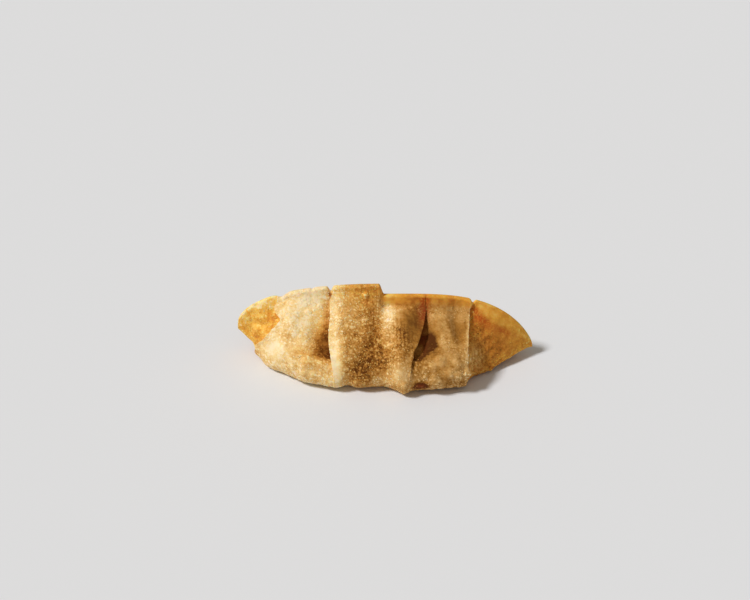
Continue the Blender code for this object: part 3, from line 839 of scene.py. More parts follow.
# Blisters are paler than the dough round them, partly a painted highlight on their tops: by how
# much, between which heights in millimetres
PALER_BLISTERS = 0.12
BLISTER_HEIGHTS = (0.04, 0.42)

# The crest is paler than the front by this, partly a painted highlight along its lit edge, up to
# these turns, and a hollow is darker the deeper it is, browner and with painted shade: depths in
# millimetres, and how dark the deepest is, at stations along the dumpling
PALER_CREST = 0.12
CREST_TURNS = (0.7, 1.1)
HOLLOW_DEPTHS = (0.2, 2.6)
HOLLOW_BROWNED_AND_SHADE = (
    (-45.0, 0.5), (-15.0, 0.6), (0.0, 0.5), (8.0, 0.1), (16.0, 0.1), (20.0, 0.4), (23.0, 0.4),
    (25.5, 0.0),
)

# The hidden sides are guessed: the back a light gold, browner towards the pan, and the base brown.
# Pairs of turns say where each begins and ends
BACK_BROWNED, BACK_PAN_BROWNED, UNDER_BROWNED = 0.28, 0.24, 0.75
PAN_TURNS = (4.9, 5.4)
UNDER_IN, UNDER_OUT = (2.8, 3.0), (4.0, 4.6)


def browned_and_painted_light_note(x, turn, down, hollow, raised):
    browned_and_painted_light = along(x, BROWNED_ALONG) + field(DARKER_AND_PAINTED_SHADE, x, down) - field(PALER_AND_PAINTED_LIGHT, x, down)
    browned_and_painted_light = browned_and_painted_light - PALER_CREST * (1 - smooth(*CREST_TURNS, turn))
    browned_and_painted_light = browned_and_painted_light + along(x, HOLLOW_BROWNED_AND_SHADE) * smooth(*HOLLOW_DEPTHS, hollow)
    browned_and_painted_light = browned_and_painted_light - PALER_BLISTERS * smooth(*BLISTER_HEIGHTS, raised)
    pan_side = BACK_PAN_BROWNED * (1 - smooth(*PAN_TURNS, turn))
    browned_and_painted_light = np.where(turn < BASE_TURN, browned_and_painted_light, BACK_BROWNED + pan_side)
    return lerp(browned_and_painted_light, UNDER_BROWNED, between(UNDER_IN, UNDER_OUT, turn))


print("darker spots:", len(DARKER_AND_PAINTED_SHADE), "paler spots:", len(PALER_AND_PAINTED_LIGHT))

# %% [markdown]
# Ears and rim are thin, and fat and light get through them, so they turn amber instead of brown. We
# could brown them with a second material, but the two would meet in a hard line. A second number
# lets one material blend from the thick dough to the thin.

# %% Thin dough turns amber
# The belly has a touch of amber along it. Some spots have more of it, and where the amount is
# negative they have less: those on the lip at -14 mm and on the bulge near 0 and 5 mm are creamier
# as a painted highlight. Thicker parts of the ears stayed beige
AMBER_ALONG = ((-30.0, 0.16), (-14.0, 0.30), (4.0, 0.20), (11.0, 0.04), (14.0, 0.0), (26.0, 0.0))
AMBER_SPOTS = (
    (-6.0, 0.12, 5.0, 0.13, 0.42),
    (-3.0, 0.50, 3.0, 0.30, 0.25),
    (-19.6, 0.44, 2.4, 0.18, 0.36),
    (-22.5, 0.77, 4.4, 0.11, 0.32),
    (0.4, 0.30, 2.8, 0.22, -0.30, 2.0),
    (4.8, 0.88, 3.2, 0.14, -0.20, 2.0),
    (-14.4, 0.32, 1.4, 0.36, -0.20),
)
THICKER = (
    (27.5, 0.84, 3.2, 0.26, 0.6),
    (-37.0, 0.38, 4.5, 0.20, 0.10),
)

# Amber: the band under the rim, by share away from it, on the right part and fainter on the left
RIM_BAND = (0.02, 0.15)
RIM_BAND_ALONG = (
    (-45.0, 0.5), (-30.0, 0.05), (-17.0, 0.05), (-14.0, 0.35), (-2.0, 0.45), (1.0, 1.0), (45.0, 1.0),
)

# Amber ears: how soft their edges are at the first and the last pleat, and where they fade out
# behind, in millimetres along
LEFT_EAR_EDGE = (-0.4, 0.4)
RIGHT_EAR_EDGE = (-0.3, 0.3)
LEFT_EAR_BEHIND = (-38.0, -30.0)
RIGHT_EAR_BEHIND = (26.0, 34.0)


def thin_ears(x, turn, down):
    """1 on the two thin ears, in front from their pleats on and behind from a place along."""
    left_ear = 1 - smooth(*LEFT_EAR_EDGE, x - along(down, PLEATS[0]["path"]))
    right_ear = smooth(*RIGHT_EAR_EDGE, x - along(down, PLEATS[-1]["path"]))
    front_ears = np.maximum(left_ear, right_ear) * (1 - field(THICKER, x, down))
    back_ears = np.maximum(1 - smooth(*LEFT_EAR_BEHIND, x), smooth(*RIGHT_EAR_BEHIND, x))
    return np.where(turn < BASE_TURN, front_ears, back_ears)


def amber_note(x, turn, down, ears, front):
    band = (1 - smooth(*RIM_BAND, away_from_rim(turn))) * along(x, RIM_BAND_ALONG)
    return np.maximum(band, ears) + along(x, AMBER_ALONG) + front * field(AMBER_SPOTS, x, down)


print("amber spots:", len(AMBER_SPOTS))

# %% [markdown]
# A third number says where hot fat made the surface bubble, which later steps turn into real
# relief. Bubbles could be strewn evenly, but dough that lay smooth against other dough, or that a
# thumb had pressed flat, hardly bubbled. So we list the calm places too.

# %% Where the dough bubbled
# Where fry bubbles sit: all over the front but for the smooth rim of the right part, a little
# fewer on the ears and on the back. Beads stop at a turn that is part of the way round the foot
BUBBLE_FREE_RIM = (0.02, 0.16)
RIM_BUBBLES_UNTIL = (-3.0, -1.0)
FRY_IN, FRY_OUT = (0.2, 0.6), (2.6, 3.0)
BACK_FRY = 0.8
BACK_FRY_IN, BACK_FRY_OUT = (4.3, 5.0), (5.7, 6.0)
FEWER_ON_EARS = 0.1
BEADS_UNTIL = 2.4

# Calm places, where the dough hardly bubbled
CALM = (
    (16.5, 0.28, 3.4, 0.24, 0.5, 2.0),
    (22.5, 0.38, 2.6, 0.26, 0.75, 2.0),
    (8.5, 0.36, 2.6, 0.24, 0.7),
    (12.6, 0.50, 3.2, 0.20, 0.75, -6.0),
    (17.5, 0.78, 6.0, 0.20, 0.55),
    (5.2, 0.92, 2.6, 0.12, 0.45),
    (5.0, 0.28, 2.3, 0.18, 0.65),
    (-18.0, 0.62, 2.4, 0.16, 0.6),
    (-14.3, 0.86, 1.6, 0.14, 0.7),
    (-31.0, 0.18, 3.0, 0.12, 0.4),
    (-33.0, 0.80, 4.0, 0.12, 0.5),
    (35.0, 0.30, 6.5, 0.55, 0.8, 6.0),
)
MOST_CALM = 0.9


def fry_note(x, turn, down, ears):
    bare_rim = smooth(*BUBBLE_FREE_RIM, down) + (1 - smooth(*RIM_BUBBLES_UNTIL, x))
    bubbled = np.clip(bare_rim, 0, 1) * (1 - FEWER_ON_EARS * ears)
    bubbled = bubbled * (1 - np.clip(field(CALM, x, down), 0, MOST_CALM))
    fry = (turn < BASE_TURN) * bubbled * between(FRY_IN, FRY_OUT, turn)
    return fry + BACK_FRY * between(BACK_FRY_IN, BACK_FRY_OUT, turn)


print("calm places:", len(CALM))

# %% [markdown]
# Russet stains, where fat burnt on, and wrinkles, where the dough was stretched, are lists of soft
# spots again. With them every point has its six notes. Each is kept between 0 and 1, because the
# material and the node trees read them as shares.

# %% Notes on every point
# Russet stains: in the slots of the pleats, at the foot, and as a band on the right ear. In the slot
# near 12 mm the stain is partly painted light, a reddish tone that lightens the slot's shadow
RUSSET_STAINS = (
    (11.5, 0.18, 1.5, 0.17, 1.8, -2.0),
    (11.8, 0.01, 1.5, 0.05, 0.9),
    (27.2, 0.13, 1.8, 0.12, 0.76, 10.0),
    (30.0, 0.25, 2.6, 0.09, 0.62, 20.0),
    (36.2, 0.38, 3.6, 0.09, 0.65, 20.0),
    (11.6, 0.50, 0.9, 0.12, 0.70, -2.0),
    (-34.2, 0.31, 0.8, 0.06, 0.5),
    (-16.6, 0.03, 0.5, 0.08, 0.8),
    (10.5, 1.03, 1.6, 0.028, 0.8, -1.0),
)

# Wrinkles run down the front where the dough was stretched
WRINKLED = (
    (4.5, 0.52, 3.4, 0.16, 0.6),
    (1.8, 0.26, 3.0, 0.18, 0.5),
    (29.0, 0.78, 3.5, 0.25, 0.8),
    (-37.5, 0.30, 4.0, 0.20, 0.6),
)


def browning_notes(x, turn, down, hollow, raised):
    """Point attributes for the dough material, all from 0 to 1."""
    front = (turn >= FRONT_TURN) & (turn < BASE_TURN)
    ears = thin_ears(x, turn, down)
    fry = fry_note(x, turn, down, ears)
    values_by_name = {
        "browned_and_painted_light": browned_and_painted_light_note(x, turn, down, hollow, raised),
        "amber": amber_note(x, turn, down, ears, front),
        "russet": front * field(RUSSET_STAINS, x, down),
        "fry": fry,
        "bead": fry**2 * (turn < BEADS_UNTIL),
        "wrinkle": front * field(WRINKLED, x, down),
    }
    return {name: np.clip(values, 0, 1) for name, values in values_by_name.items()}


browning = browning_notes(**notes)
for name, values in browning.items():
    print(f"{name}: mean {values.mean():.2f}, most {values.max():.2f}")

# %% [markdown]
# The grid becomes one closed mesh: quads between neighbouring rings and a small fan of triangles on
# each tip. A curve with a bevel would keep one section all along, so we write the points and faces
# ourselves. A UV map goes with them, running along the dumpling and round the ring, and each note
# becomes a point attribute, which a shader or a Geometry Nodes tree can read by its name.

# %% The skin mesh
def closed_mesh(name, points):
    """The lofted skin with each end closed on a middle point."""
    rings, round_count = points.shape[:2]
    ends = np.stack([points[0].mean(0), points[-1].mean(0)])
    vertices = np.concatenate([points.reshape(-1, 3), ends])
    here = np.arange(round_count)
    beside = (here + 1) % round_count
    ring = np.arange(rings - 1)[:, None] * round_count
    next_ring = ring + round_count
    quads = np.stack([ring + here, ring + beside, next_ring + beside, next_ring + here], -1)
    left_end, right_end = rings * round_count, rings * round_count + 1
    last_ring = (rings - 1) * round_count
    edges = list(zip(here.tolist(), beside.tolist()))
    fans = [(left_end, b, a) for a, b in edges]
    fans += [(right_end, last_ring + a, last_ring + b) for a, b in edges]
    mesh = bpy.data.meshes.new(name)
    mesh.from_pydata(vertices.tolist(), [], quads.reshape(-1, 4).tolist() + fans)
    mesh.validate()
    return mesh


def write_attributes(mesh, values_by_name):
    for name, values in values_by_name.items():
        flat = np.concatenate([values.reshape(-1), [values[0].mean(), values[-1].mean()]])
        mesh.attributes.new(name, "FLOAT", "POINT").data.foreach_set("value", flat.astype(np.float32))


def write_uv(mesh, rings, round_count):
    """U along the dumpling and V round the ring, so that patterns can follow the dough."""
    corner = np.empty(len(mesh.loops), np.int32)
    mesh.loops.foreach_get("vertex_index", corner)
    u = (corner // round_count).clip(0, rings - 1) / (rings - 1)
    v = (corner % round_count) / round_count
    layer = mesh.uv_layers.new(name="along_and_round")
    layer.data.foreach_set("uv", np.stack([u, v], -1).astype(np.float32).ravel())


def place_in_scene(name, data):
    """A new object with this mesh, lamp or camera, linked to the scene."""
    made = bpy.data.objects.new(name, data)
    bpy.context.scene.collection.objects.link(made)
    return made


skin_mesh = closed_mesh("gyoza_skin", skin_points * MM_TO_M)
write_attributes(skin_mesh, browning)
write_uv(skin_mesh, *skin_points.shape[:2])
skin_mesh.polygons.foreach_set("use_smooth", np.ones(len(skin_mesh.polygons), bool))
skin_mesh.update()
skin = place_in_scene("gyoza_skin", skin_mesh)
print("skin faces:", len(skin_mesh.polygons))

# %% [markdown]
# The next cells build node trees by script instead of by hand in an editor, so that every size has
# a name. A few helpers save much typing: one adds a node and fills in its values and links, and
# short ones do the commonest sums and textures.

# %% Node helpers
def fill(node, inputs):
    """Sets a node's inputs to values, or links them to sockets."""
    for key, value in inputs.items():
        if isinstance(value, bpy.types.NodeSocket):
            node.id_data.links.new(value, node.inputs[key])
        else:
            node.inputs[key].default_value = value
    return node


def add(tree, kind, inputs=None, **settings):
    made = tree.nodes.new(kind)
    for name, value in settings.items():
        setattr(made, name, value)
    return fill(made, inputs or {})


def math_node(tree, operation, *values, clamp=False):
    inputs = dict(enumerate(values))
    return add(tree, "ShaderNodeMath", inputs, operation=operation, use_clamp=clamp).outputs[0]


def times(tree, first, second):
    return math_node(tree, "MULTIPLY", first, second)


def scaled(tree, value, factor, plus, clamp=False):
    """The value times a factor, plus another value."""
    return math_node(tree, "MULTIPLY_ADD", value, factor, plus, clamp=clamp)


def vector_node(tree, operation, inputs):
    return add(tree, "ShaderNodeVectorMath", inputs, operation=operation).outputs[0]


def noise(tree, place, scale, detail=3.0, output=0):
    inputs = {"Vector": place, "Scale": scale, "Detail": detail}
    return add(tree, "ShaderNodeTexNoise", inputs).outputs[output]


def cells(tree, place, scale):
    return add(tree, "ShaderNodeTexVoronoi", {"Vector": place, "Scale": scale}).outputs


print("node helpers ready")

# %% [markdown]
# Geometry Nodes trees need a few more. They give a tree its named inputs and its end, and the last
# one runs a tree on an object and keeps the result as a plain mesh. The modifier could be left on,
# but an export drops instances, and a plain mesh looks the same everywhere.

# %% Helpers for Geometry Nodes
def named_value(tree, name):
    return add(tree, "GeometryNodeInputNamedAttribute", {"Name": name}, data_type="FLOAT").outputs[0]


def new_geometry_tree(name, sizes):
    """A tree with named number inputs and a material, and the sockets that they come in by."""
    tree = bpy.data.node_groups.new(name, "GeometryNodeTree")
    tree.interface.new_socket("Geometry", in_out="INPUT", socket_type="NodeSocketGeometry")
    for label, value in sizes.items():
        kind = "NodeSocketInt" if isinstance(value, int) else "NodeSocketFloat"
        tree.interface.new_socket(label, in_out="INPUT", socket_type=kind).default_value = value
    tree.interface.new_socket("Material", in_out="INPUT", socket_type="NodeSocketMaterial")
    tree.interface.new_socket("Geometry", in_out="OUTPUT", socket_type="NodeSocketGeometry")
    return tree, add(tree, "NodeGroupInput").outputs


def store_grain(tree, geometry, value):
    """Notes on every point how high the grain stands there, as a share."""
    inputs = {"Geometry": geometry, "Name": "grain", "Value": value}
    kind = "GeometryNodeStoreNamedAttribute"
    return add(tree, kind, inputs, data_type="FLOAT", domain="POINT").outputs[0]


def realized(tree, geometry):
    return add(tree, "GeometryNodeRealizeInstances", {"Geometry": geometry}).outputs[0]


def end_tree(tree, geometry, material):
    """Sets the material and leads the geometry out of the tree."""
    dressed = add(tree, "GeometryNodeSetMaterial", {"Geometry": geometry, "Material": material})
    add(tree, "NodeGroupOutput", {"Geometry": dressed.outputs[0]})
    return tree


def run_tree(obj, tree, values):
    """Puts the tree on the object, sets its inputs by identifier, and keeps the result as a mesh."""
    modifier = obj.modifiers.new(tree.name, "NODES")
    modifier.node_group = tree
    for item in tree.interface.items_tree:
        if item.in_out == "INPUT" and item.name in values:
            modifier[item.identifier] = values[item.name]
    bpy.context.view_layer.update()
    graph = bpy.context.evaluated_depsgraph_get()
    result = bpy.data.meshes.new_from_object(
        obj.evaluated_get(graph), preserve_all_data_layers=True, depsgraph=graph)
    obj.modifiers.remove(modifier)
    result.name = obj.name
    return result


print("tree helpers ready")

# %% [markdown]
# Hot fat makes the surface of the dough bubble. Seen close, the belly is sandy: thousands of tiny
# domes, crowded and of many sizes, with flat dough between them. A Voronoi texture has just that
# order: each of its cells becomes one dome, and its random colour says how large the dome is and
# whether the cell bubbles at all. Two sizes of dome, a little noise and, where the dough was
# stretched, fine wrinkles down the front move the real points of the skin. A bump map would only
# shade it and leave its outline smooth. The tree also stores the height that it added as an
# attribute, which makes tops paler later, partly as a painted highlight.

# %% Fry grain on the skin
# The radius of a bubble in its cell: the least, and how much chance may add to it
BUBBLE_RADIUS, BUBBLE_RADIUS_CHANCE = 0.26, 0.34

# Noise lies on both sides of this value
NOISE_MIDDLE = 0.5


def bubble_layer(tree, place, cells_per_metre, share_bubbling):
    """Domes as high as their radius, one in each Voronoi cell that bubbles."""
    bubbles = cells(tree, place, cells_per_metre)
    dice = add(tree, "ShaderNodeSeparateXYZ", {"Vector": bubbles["Color"]}).outputs
    radius = scaled(tree, dice["X"], BUBBLE_RADIUS_CHANCE, BUBBLE_RADIUS)
    near = math_node(tree, "DIVIDE", bubbles["Distance"], radius)
    dome = math_node(tree, "SUBTRACT", 1.0, times(tree, near, near), clamp=True)
    bubbling = math_node(tree, "LESS_THAN", dice["Y"], share_bubbling)
    return times(tree, times(tree, dome, radius), bubbling)


def fried_skin_tree():
    tree, size = new_geometry_tree("fried_skin", {
        "Coarse cells per metre": 640.0,
        "Coarse share bubbling": 0.3,
        "Coarse height": 0.00014,
        "Fine cells per metre": 1300.0,
        "Fine share bubbling": 0.8,
        "Fine height": 0.0002,
        "Bends per metre": 400.0,
        "Bend": 0.0012,
        "Waves per metre": 600.0,
        "Wave height": 0.00006,
        "Wrinkles per metre": 900.0,
        "Wrinkle height": 0.00006,
        "Grain per metre of height": 8000.0,
    })
    position = add(tree, "GeometryNodeInputPosition").outputs[0]
    bends = noise(tree, position, size["Bends per metre"], 2.0, "Color")
    bent = vector_node(tree, "SCALE", {0: bends, "Scale": size["Bend"]})
    place = vector_node(tree, "ADD", {0: position, 1: bent})
    coarse, fine = (
        bubble_layer(tree, place, size[f"{name} cells per metre"], size[f"{name} share bubbling"])
        for name in ("Coarse", "Fine")
    )
    wave = math_node(tree, "SUBTRACT", noise(tree, position, size["Waves per metre"]), NOISE_MIDDLE)
    height = times(tree, coarse, size["Coarse height"])
    height = scaled(tree, fine, size["Fine height"], height)
    height = scaled(tree, wave, size["Wave height"], height)
    height = times(tree, height, named_value(tree, "fry"))
    across = add(tree, "ShaderNodeSeparateXYZ", {"Vector": place}).outputs["X"]
    phase = times(tree, times(tree, across, size["Wrinkles per metre"]), math.tau)
    ripple = times(tree, math_node(tree, "SINE", phase), named_value(tree, "wrinkle"))
    height = scaled(tree, ripple, size["Wrinkle height"], height)
    grain = math_node(tree, "MULTIPLY", height, size["Grain per metre of height"], clamp=True)
    stored = store_grain(tree, size["Geometry"], grain)
    normal = add(tree, "GeometryNodeInputNormal").outputs[0]
    offset = vector_node(tree, "SCALE", {0: normal, "Scale": height})
    moved = add(tree, "GeometryNodeSetPosition", {"Geometry": stored, "Offset": offset})
    return end_tree(tree, realized(tree, moved.outputs[0]), size["Material"])


dough = bpy.data.materials.new("dough")
skin.data = run_tree(skin, fried_skin_tree(), {"Material": dough})
print("skin attributes:", [a.name for a in skin.data.attributes if not a.name.startswith(".")])

# %% [markdown]
# The sharpest blisters stand up as separate beads that catch the light. Particles could hold them,
# but Geometry Nodes give a plain mesh: points are scattered on the skin, no two closer than a set
# distance and more of them where the frying note is high, and a small flattened ball is set on
# each, half sunk in the dough. A ball has only twenty faces, because there are thousands of them.

# %% Fry blisters as beads
BEAD_SEED = 5
FACES_PER_BEAD = 20

# Beads crowd where patchy noise is high: it is multiplied by the first value and the second is added
CROWDING = (3.0, -0.9)

# Most beads are small, because the chance of each is raised to this power
SIZE_POWER = 2.5


def blister_tree():
    tree, size = new_geometry_tree("fry_blisters", {
        "Least distance": 0.0004,
        "Most per square metre": 5000000.0,
        "Patches per metre": 350.0,
        "Smallest radius": 0.00009,
        "Largest radius": 0.00026,
        "Flatness": 0.6,
        # The grain makes the beads paler in the dough material, partly as a painted highlight
        "Grain": 0.75,
        "Seed": BEAD_SEED,
    })
    position = add(tree, "GeometryNodeInputPosition").outputs[0]
    patches = noise(tree, position, size["Patches per metre"], 1.0)
    crowd = scaled(tree, patches, *CROWDING, clamp=True)
    points = add(tree, "GeometryNodeDistributePointsOnFaces", {
        "Mesh": size["Geometry"],
        "Distance Min": size["Least distance"],
        "Density Max": size["Most per square metre"],
        "Density Factor": times(tree, named_value(tree, "bead"), crowd),
        "Seed": size["Seed"],
    }, distribute_method="POISSON").outputs
    ball = add(tree, "GeometryNodeMeshIcoSphere", {"Radius": 1.0, "Subdivisions": 1})
    dice = add(tree, "FunctionNodeRandomValue", {"Seed": size["Seed"]}, data_type="FLOAT")
    skewed = math_node(tree, "POWER", dice.outputs[1], SIZE_POWER)
    spread = math_node(tree, "SUBTRACT", size["Largest radius"], size["Smallest radius"])
    radius = scaled(tree, skewed, spread, size["Smallest radius"])
    flat = times(tree, radius, size["Flatness"])
    beads = add(tree, "GeometryNodeInstanceOnPoints", {
        "Points": points["Points"],
        "Instance": ball.outputs["Mesh"],
        "Rotation": points["Rotation"],
        "Scale": add(tree, "ShaderNodeCombineXYZ", {"X": radius, "Y": radius, "Z": flat}).outputs[0],
    })
    stored = store_grain(tree, realized(tree, beads.outputs[0]), size["Grain"])
    rounded = add(tree, "GeometryNodeSetShadeSmooth", {"Geometry": stored})
    return end_tree(tree, rounded.outputs[0], size["Material"])


blisters = place_in_scene("fry_blisters", skin.data.copy())
blisters.data = run_tree(blisters, blister_tree(), {"Seed": BEAD_SEED, "Material": dough})
bead_triangles = len(blisters.data.polygons)
print("beads:", bead_triangles // FACES_PER_BEAD, "triangles:", bead_triangles)

# %% [markdown]
# The material turns the browning number into a colour with a ramp, as a toast chart would: cream,
# gold, light brown, dark brown. Thin dough has a chart of its own, from pale honey to dark amber.
# Painted maps would hold more colours, but with charts every freckle stays a colour of fried dough
# and never goes grey.

# %% Colour charts
# Each chart gives colours at shares of browning, for thick dough and for thin
TOAST_CHART = (
    (0.0, (0.95, 0.81, 0.57)),
    (0.25, (0.87, 0.63, 0.30)),
    (0.5, (0.655, 0.373, 0.122)),
    (0.75, (0.39, 0.172, 0.029)),
    (1.0, (0.088, 0.024, 0.0035)),
)
THIN_CHART = (
    (0.0, (0.96, 0.79, 0.44)),
    (0.2, (0.90, 0.60, 0.13)),
    (0.45, (0.80, 0.39, 0.048)),
    (0.7, (0.61, 0.228, 0.029)),
    (1.0, (0.22, 0.065, 0.005)),
)

# Stains on thick dough and on thin
RUSSET = (0.29, 0.050, 0.012, 1.0)
THIN_RUSSET = (0.46, 0.065, 0.006, 1.0)


def mixed(tree, share, first, second):
    """Two colours mixed. These numbers are the inputs and the output of the node for colours."""
    inputs = {0: share, 6: first, 7: second}
    return add(tree, "ShaderNodeMix", inputs, data_type="RGBA", clamp_factor=True).outputs[2]


def by_chart(tree, value, chart):
    ramp = add(tree, "ShaderNodeValToRGB", {"Fac": value})
    stops = ramp.color_ramp.elements
    stops[0].color, stops[-1].color = (*chart[0][1], 1.0), (*chart[-1][1], 1.0)
    for position, colour in chart[1:-1]:
        stops.new(position).color = (*colour, 1.0)
    return ramp.outputs["Color"]


print("colours on the charts:", len(TOAST_CHART), "and", len(THIN_CHART))

# %% [markdown]
# Before the charts, small things change the number. Noise in Object coordinates makes it mottled,
# because no patch of fried dough has one colour, gaps between bubbles are darker, and the tops of
# bubbles are paler, partly as a painted highlight of their glints. The same noise could change the
# colour itself, but changing the number keeps to the charts.

# %% Fine differences in browning
# No place is paler than this
LEAST_BROWNED = 0.05

# Noise in Object coordinates: how many waves or cells to the metre. Noise lies mostly in its span
CLOUDS, MOTTLES, FRECKLES, SPECKS = 120.0, 520.0, 1900.0, 1700.0
FRECKLE_DETAIL = 2.0
NOISE_SPAN = (0.3, 0.7)

# How far clouds and mottles change the browning, the mottles by more where the dough is amber
CLOUD_CHANGE = 0.08
MOTTLE_CHANGE, MOTTLE_CHANGE_AMBER = 0.09, 0.06

# Gaps between bubbles: the distances and the freckles that count as one, how dark they are, by more
# where the dough has browned, and how much darker fried dough is all over
GAP_DISTANCES, GAP_FRECKLES = (0.25, 0.6), (0.3, 0.65)
GAP_DARKER, GAP_DARKER_BROWNED = 0.17, 0.06
FRIED_DARKER = 0.05

# How much paler the tops are, partly as a painted highlight, by less where the dough is amber
TOP_PALER, TOP_PALER_AMBER = 0.58, -0.14


def noted(tree, name):
    kind = "ShaderNodeAttribute"
    return add(tree, kind, attribute_name=name, attribute_type="GEOMETRY").outputs["Fac"]


def moved_range(tree, value, span, new_span=(0.0, 1.0)):
    """The value moved so that the ends of its span become those of the new one."""
    inputs = dict(zip(("From Min", "From Max", "To Min", "To Max"), (*span, *new_span)))
    return add(tree, "ShaderNodeMapRange", {"Value": value, **inputs}).outputs[0]


def surface_facts(tree):
    """Sockets for the notes at a point, and for noise from broad clouds to tiny specks."""
    place = add(tree, "ShaderNodeTexCoord").outputs["Object"]
    facts = {name: noted(tree, name) for name in ("browned_and_painted_light", "amber", "russet", "fry", "grain")}
    facts["clouds"] = noise(tree, place, CLOUDS)
    facts["mottles"] = noise(tree, place, MOTTLES)
    facts["freckles"] = noise(tree, place, FRECKLES, FRECKLE_DETAIL)
    facts["specks"] = cells(tree, place, SPECKS)["Distance"]
    return facts


def finely_browned_with_painted_light(tree, facts):
    """The browning number with clouds and mottles, dark gaps and pale tops in it, the tops partly a
    painted highlight.
    """
    clouded = moved_range(tree, facts["clouds"], NOISE_SPAN, (-CLOUD_CHANGE, CLOUD_CHANGE))
    mottling = scaled(tree, facts["amber"], MOTTLE_CHANGE_AMBER, MOTTLE_CHANGE)
    mottled = moved_range(tree, facts["mottles"], NOISE_SPAN, (-1.0, 1.0))
    uneven = scaled(tree, mottled, mottling, clouded)
    browned_and_painted_light = math_node(tree, "ADD", facts["browned_and_painted_light"], uneven, clamp=True)
    in_gap = moved_range(tree, facts["specks"], GAP_DISTANCES)
    gaps = times(tree, in_gap, moved_range(tree, facts["freckles"], GAP_FRECKLES))
    gap_darker = scaled(tree, browned_and_painted_light, GAP_DARKER_BROWNED, GAP_DARKER, clamp=True)
    paler = times(tree, facts["grain"], scaled(tree, facts["amber"], TOP_PALER_AMBER, TOP_PALER))
    sandy = math_node(tree, "SUBTRACT", scaled(tree, gaps, gap_darker, FRIED_DARKER), paler)
    browned_and_painted_light = scaled(tree, sandy, facts["fry"], browned_and_painted_light, clamp=True)
    return math_node(tree, "MAXIMUM", browned_and_painted_light, LEAST_BROWNED)


print("waves of the finest noise to the millimetre:", round(FRECKLES * MM_TO_M, 1))

# %% [markdown]
# Fat leaves a thin gloss, tinted so that its glints stay golden, and a little subsurface lets light
# soak in, more of it where the dough is thin. A clear coat would give a harder, glassier shine than
# fat does. Bumps that are too fine for the mesh are left to the shader.

# %% The dough material
# How much of its own chart thin dough takes, and how much of their colour the stains
THIN_SHARE = 0.92
STAIN_FRECKLES, STAIN_SHARE = (0.25, 0.55), 0.9

# Roughness follows the mottles. Browned dough is rougher and the tops are glossier
ROUGHNESS = (0.54, 0.66)
ROUGHER_BROWNED, GLOSSIER_TOPS = 0.25, -0.45

# How much light soaks in, by more where the dough is thin, and what fat and dough always do to it
SOAK, SOAK_AMBER = 0.12, 0.35
FAT_AND_SOAK = {
    "IOR": 1.34,
    "Specular IOR Level": 0.42,
    "Specular Tint": (1.0, 0.78, 0.45, 1.0),
    "Subsurface Radius": (1.0, 0.45, 0.15),
    "Subsurface Scale": 0.0012,
}

# The finest bumps, and the share of the small domes in them
BUMP = {"Strength": 0.5, "Distance": 0.00015}
DOME_SHARE = 0.8


def dough_colour(tree, facts, browned_and_painted_light):
    thick, thin = (by_chart(tree, browned_and_painted_light, chart) for chart in (TOAST_CHART, THIN_CHART))
    colour = mixed(tree, times(tree, facts["amber"], THIN_SHARE), thick, thin)
    freckled = moved_range(tree, facts["freckles"], STAIN_FRECKLES)
    stain = times(tree, times(tree, facts["russet"], freckled), STAIN_SHARE)
    return mixed(tree, stain, colour, mixed(tree, facts["amber"], RUSSET, THIN_RUSSET))


def dough_bump(tree, facts):
    domes = math_node(tree, "SUBTRACT", 1.0, facts["specks"])
    height = scaled(tree, domes, times(tree, facts["fry"], DOME_SHARE), facts["freckles"])
    return add(tree, "ShaderNodeBump", {"Height": height, **BUMP}).outputs[0]


def fill_dough(material):
    material.use_nodes = True
    tree = material.node_tree
    facts = surface_facts(tree)
    browned_and_painted_light = finely_browned_with_painted_light(tree, facts)
    mottled = moved_range(tree, facts["mottles"], NOISE_SPAN, ROUGHNESS)
    matt = scaled(tree, browned_and_painted_light, ROUGHER_BROWNED, mottled)
    fill(tree.nodes["Principled BSDF"], {
        "Base Color": dough_colour(tree, facts, browned_and_painted_light),
        "Roughness": scaled(tree, facts["grain"], GLOSSIER_TOPS, matt),
        "Subsurface Weight": scaled(tree, facts["amber"], SOAK_AMBER, SOAK),
        "Normal": dough_bump(tree, facts),
        **FAT_AND_SOAK,
    })


fill_dough(dough)
print("dough nodes:", len(dough.node_tree.nodes))

# %% [markdown]
# The floor is a plain pale sheet and the light is one soft lamp high on the left with an even fill
# from the sky. A sun lamp with a wide angle stands for a large softbox far away: its shadows have
# the same soft edge everywhere. The view transform is Standard, so a colour that we choose is the
# colour that we see.

# %% Floor and light
FLOOR_HALF_WIDTH = 3.0
FLOOR_PAINT = {
    "Base Color": (0.770, 0.785, 0.815, 1.0),
    "Roughness": 0.9,
    "Specular IOR Level": 0.1,
}
TOWARDS_LIGHT = Vector((-0.60, -0.22, 0.77))
LAMP_STRENGTH, LAMP_ANGLE = 2.6, math.radians(12.0)
SKY = {"Color": (1.0, 0.92, 0.80, 1.0), "Strength": 0.30}

floor_mesh = bpy.data.meshes.new("floor")
corners = [(FLOOR_HALF_WIDTH * x, FLOOR_HALF_WIDTH * y, 0.0)
           for x, y in ((-1, -1), (1, -1), (1, 1), (-1, 1))]
floor_mesh.from_pydata(corners, [], [(0, 1, 2, 3)])
floor = place_in_scene("floor", floor_mesh)
floor_paint = bpy.data.materials.new("floor_paint")
floor_paint.use_nodes = True
fill(floor_paint.node_tree.nodes["Principled BSDF"], FLOOR_PAINT)
floor_mesh.materials.append(floor_paint)

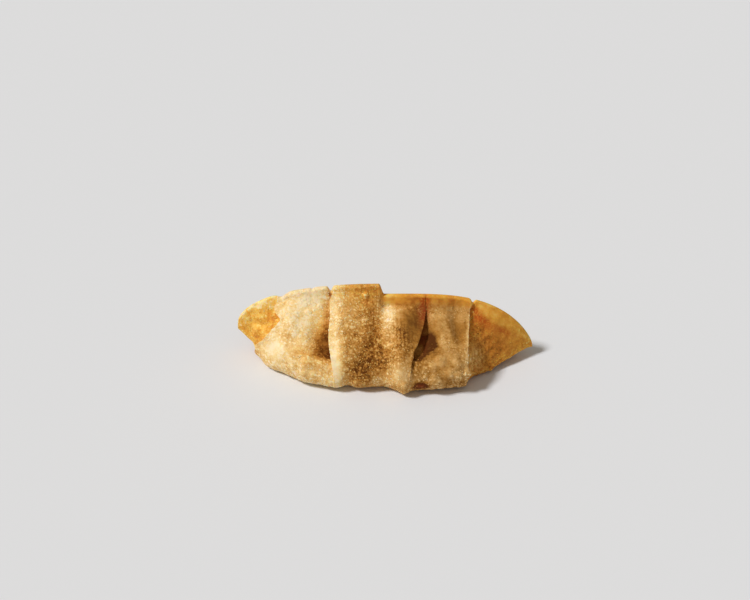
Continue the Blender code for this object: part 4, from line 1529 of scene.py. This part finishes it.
lamp = bpy.data.lights.new("soft_key", "SUN")
lamp.energy = LAMP_STRENGTH
lamp.angle = LAMP_ANGLE
key = place_in_scene("soft_key", lamp)
key.rotation_euler = TOWARDS_LIGHT.to_track_quat("Z", "Y").to_euler()

world = bpy.data.worlds.new("studio")
world.use_nodes = True
fill(world.node_tree.nodes["Background"], SKY)
bpy.context.scene.world = world
bpy.context.scene.view_settings.view_transform = "Standard"
elevation = math.degrees(math.asin(TOWARDS_LIGHT.normalized().z))
print("light elevation in degrees:", round(elevation, 1))

# %% [markdown]
# The camera looks down on the pleated front at 34.5 degrees through a long lens, which keeps the
# dumpling's proportions true. We could move it by hand until the view fits. Instead its place is
# worked out from two wishes: how many image pixels one millimetre takes, and on which pixel the
# middle of the base falls in a frame of 750 by 600.

# %% Camera
FRAME_WIDTH, FRAME_HEIGHT = 750, 600
LOOK_DOWN = math.radians(34.5)
PIXELS_PER_MM = 3.2845
BASE_PIXEL = (385.05, 365.6)
LENS_MM, SENSOR_MM = 100.0, 36.0
NEAREST_SEEN = 0.01

forward = Vector((0.0, math.cos(LOOK_DOWN), -math.sin(LOOK_DOWN)))
rightward = Vector((1.0, 0.0, 0.0))
upward = rightward.cross(forward)
distance = FRAME_WIDTH * LENS_MM / SENSOR_MM / PIXELS_PER_MM
aim = rightward * ((FRAME_WIDTH / 2 - BASE_PIXEL[0]) / PIXELS_PER_MM)
aim += upward * ((BASE_PIXEL[1] - FRAME_HEIGHT / 2) / PIXELS_PER_MM)
stand = Matrix((rightward, upward, -forward)).transposed().to_4x4()
stand.translation = (aim - forward * distance) * MM_TO_M

lens = bpy.data.cameras.new("camera")
lens.lens = LENS_MM
lens.sensor_width = SENSOR_MM
lens.clip_start = NEAREST_SEEN
camera = place_in_scene("camera", lens)
camera.matrix_world = stand
bpy.context.scene.camera = camera
print("camera stands at, in metres:", [round(v, 3) for v in stand.translation])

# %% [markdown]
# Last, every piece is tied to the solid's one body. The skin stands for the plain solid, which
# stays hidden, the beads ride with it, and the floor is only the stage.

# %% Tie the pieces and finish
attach(skin, "root")
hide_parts("gyoza")
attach(blisters, "root")
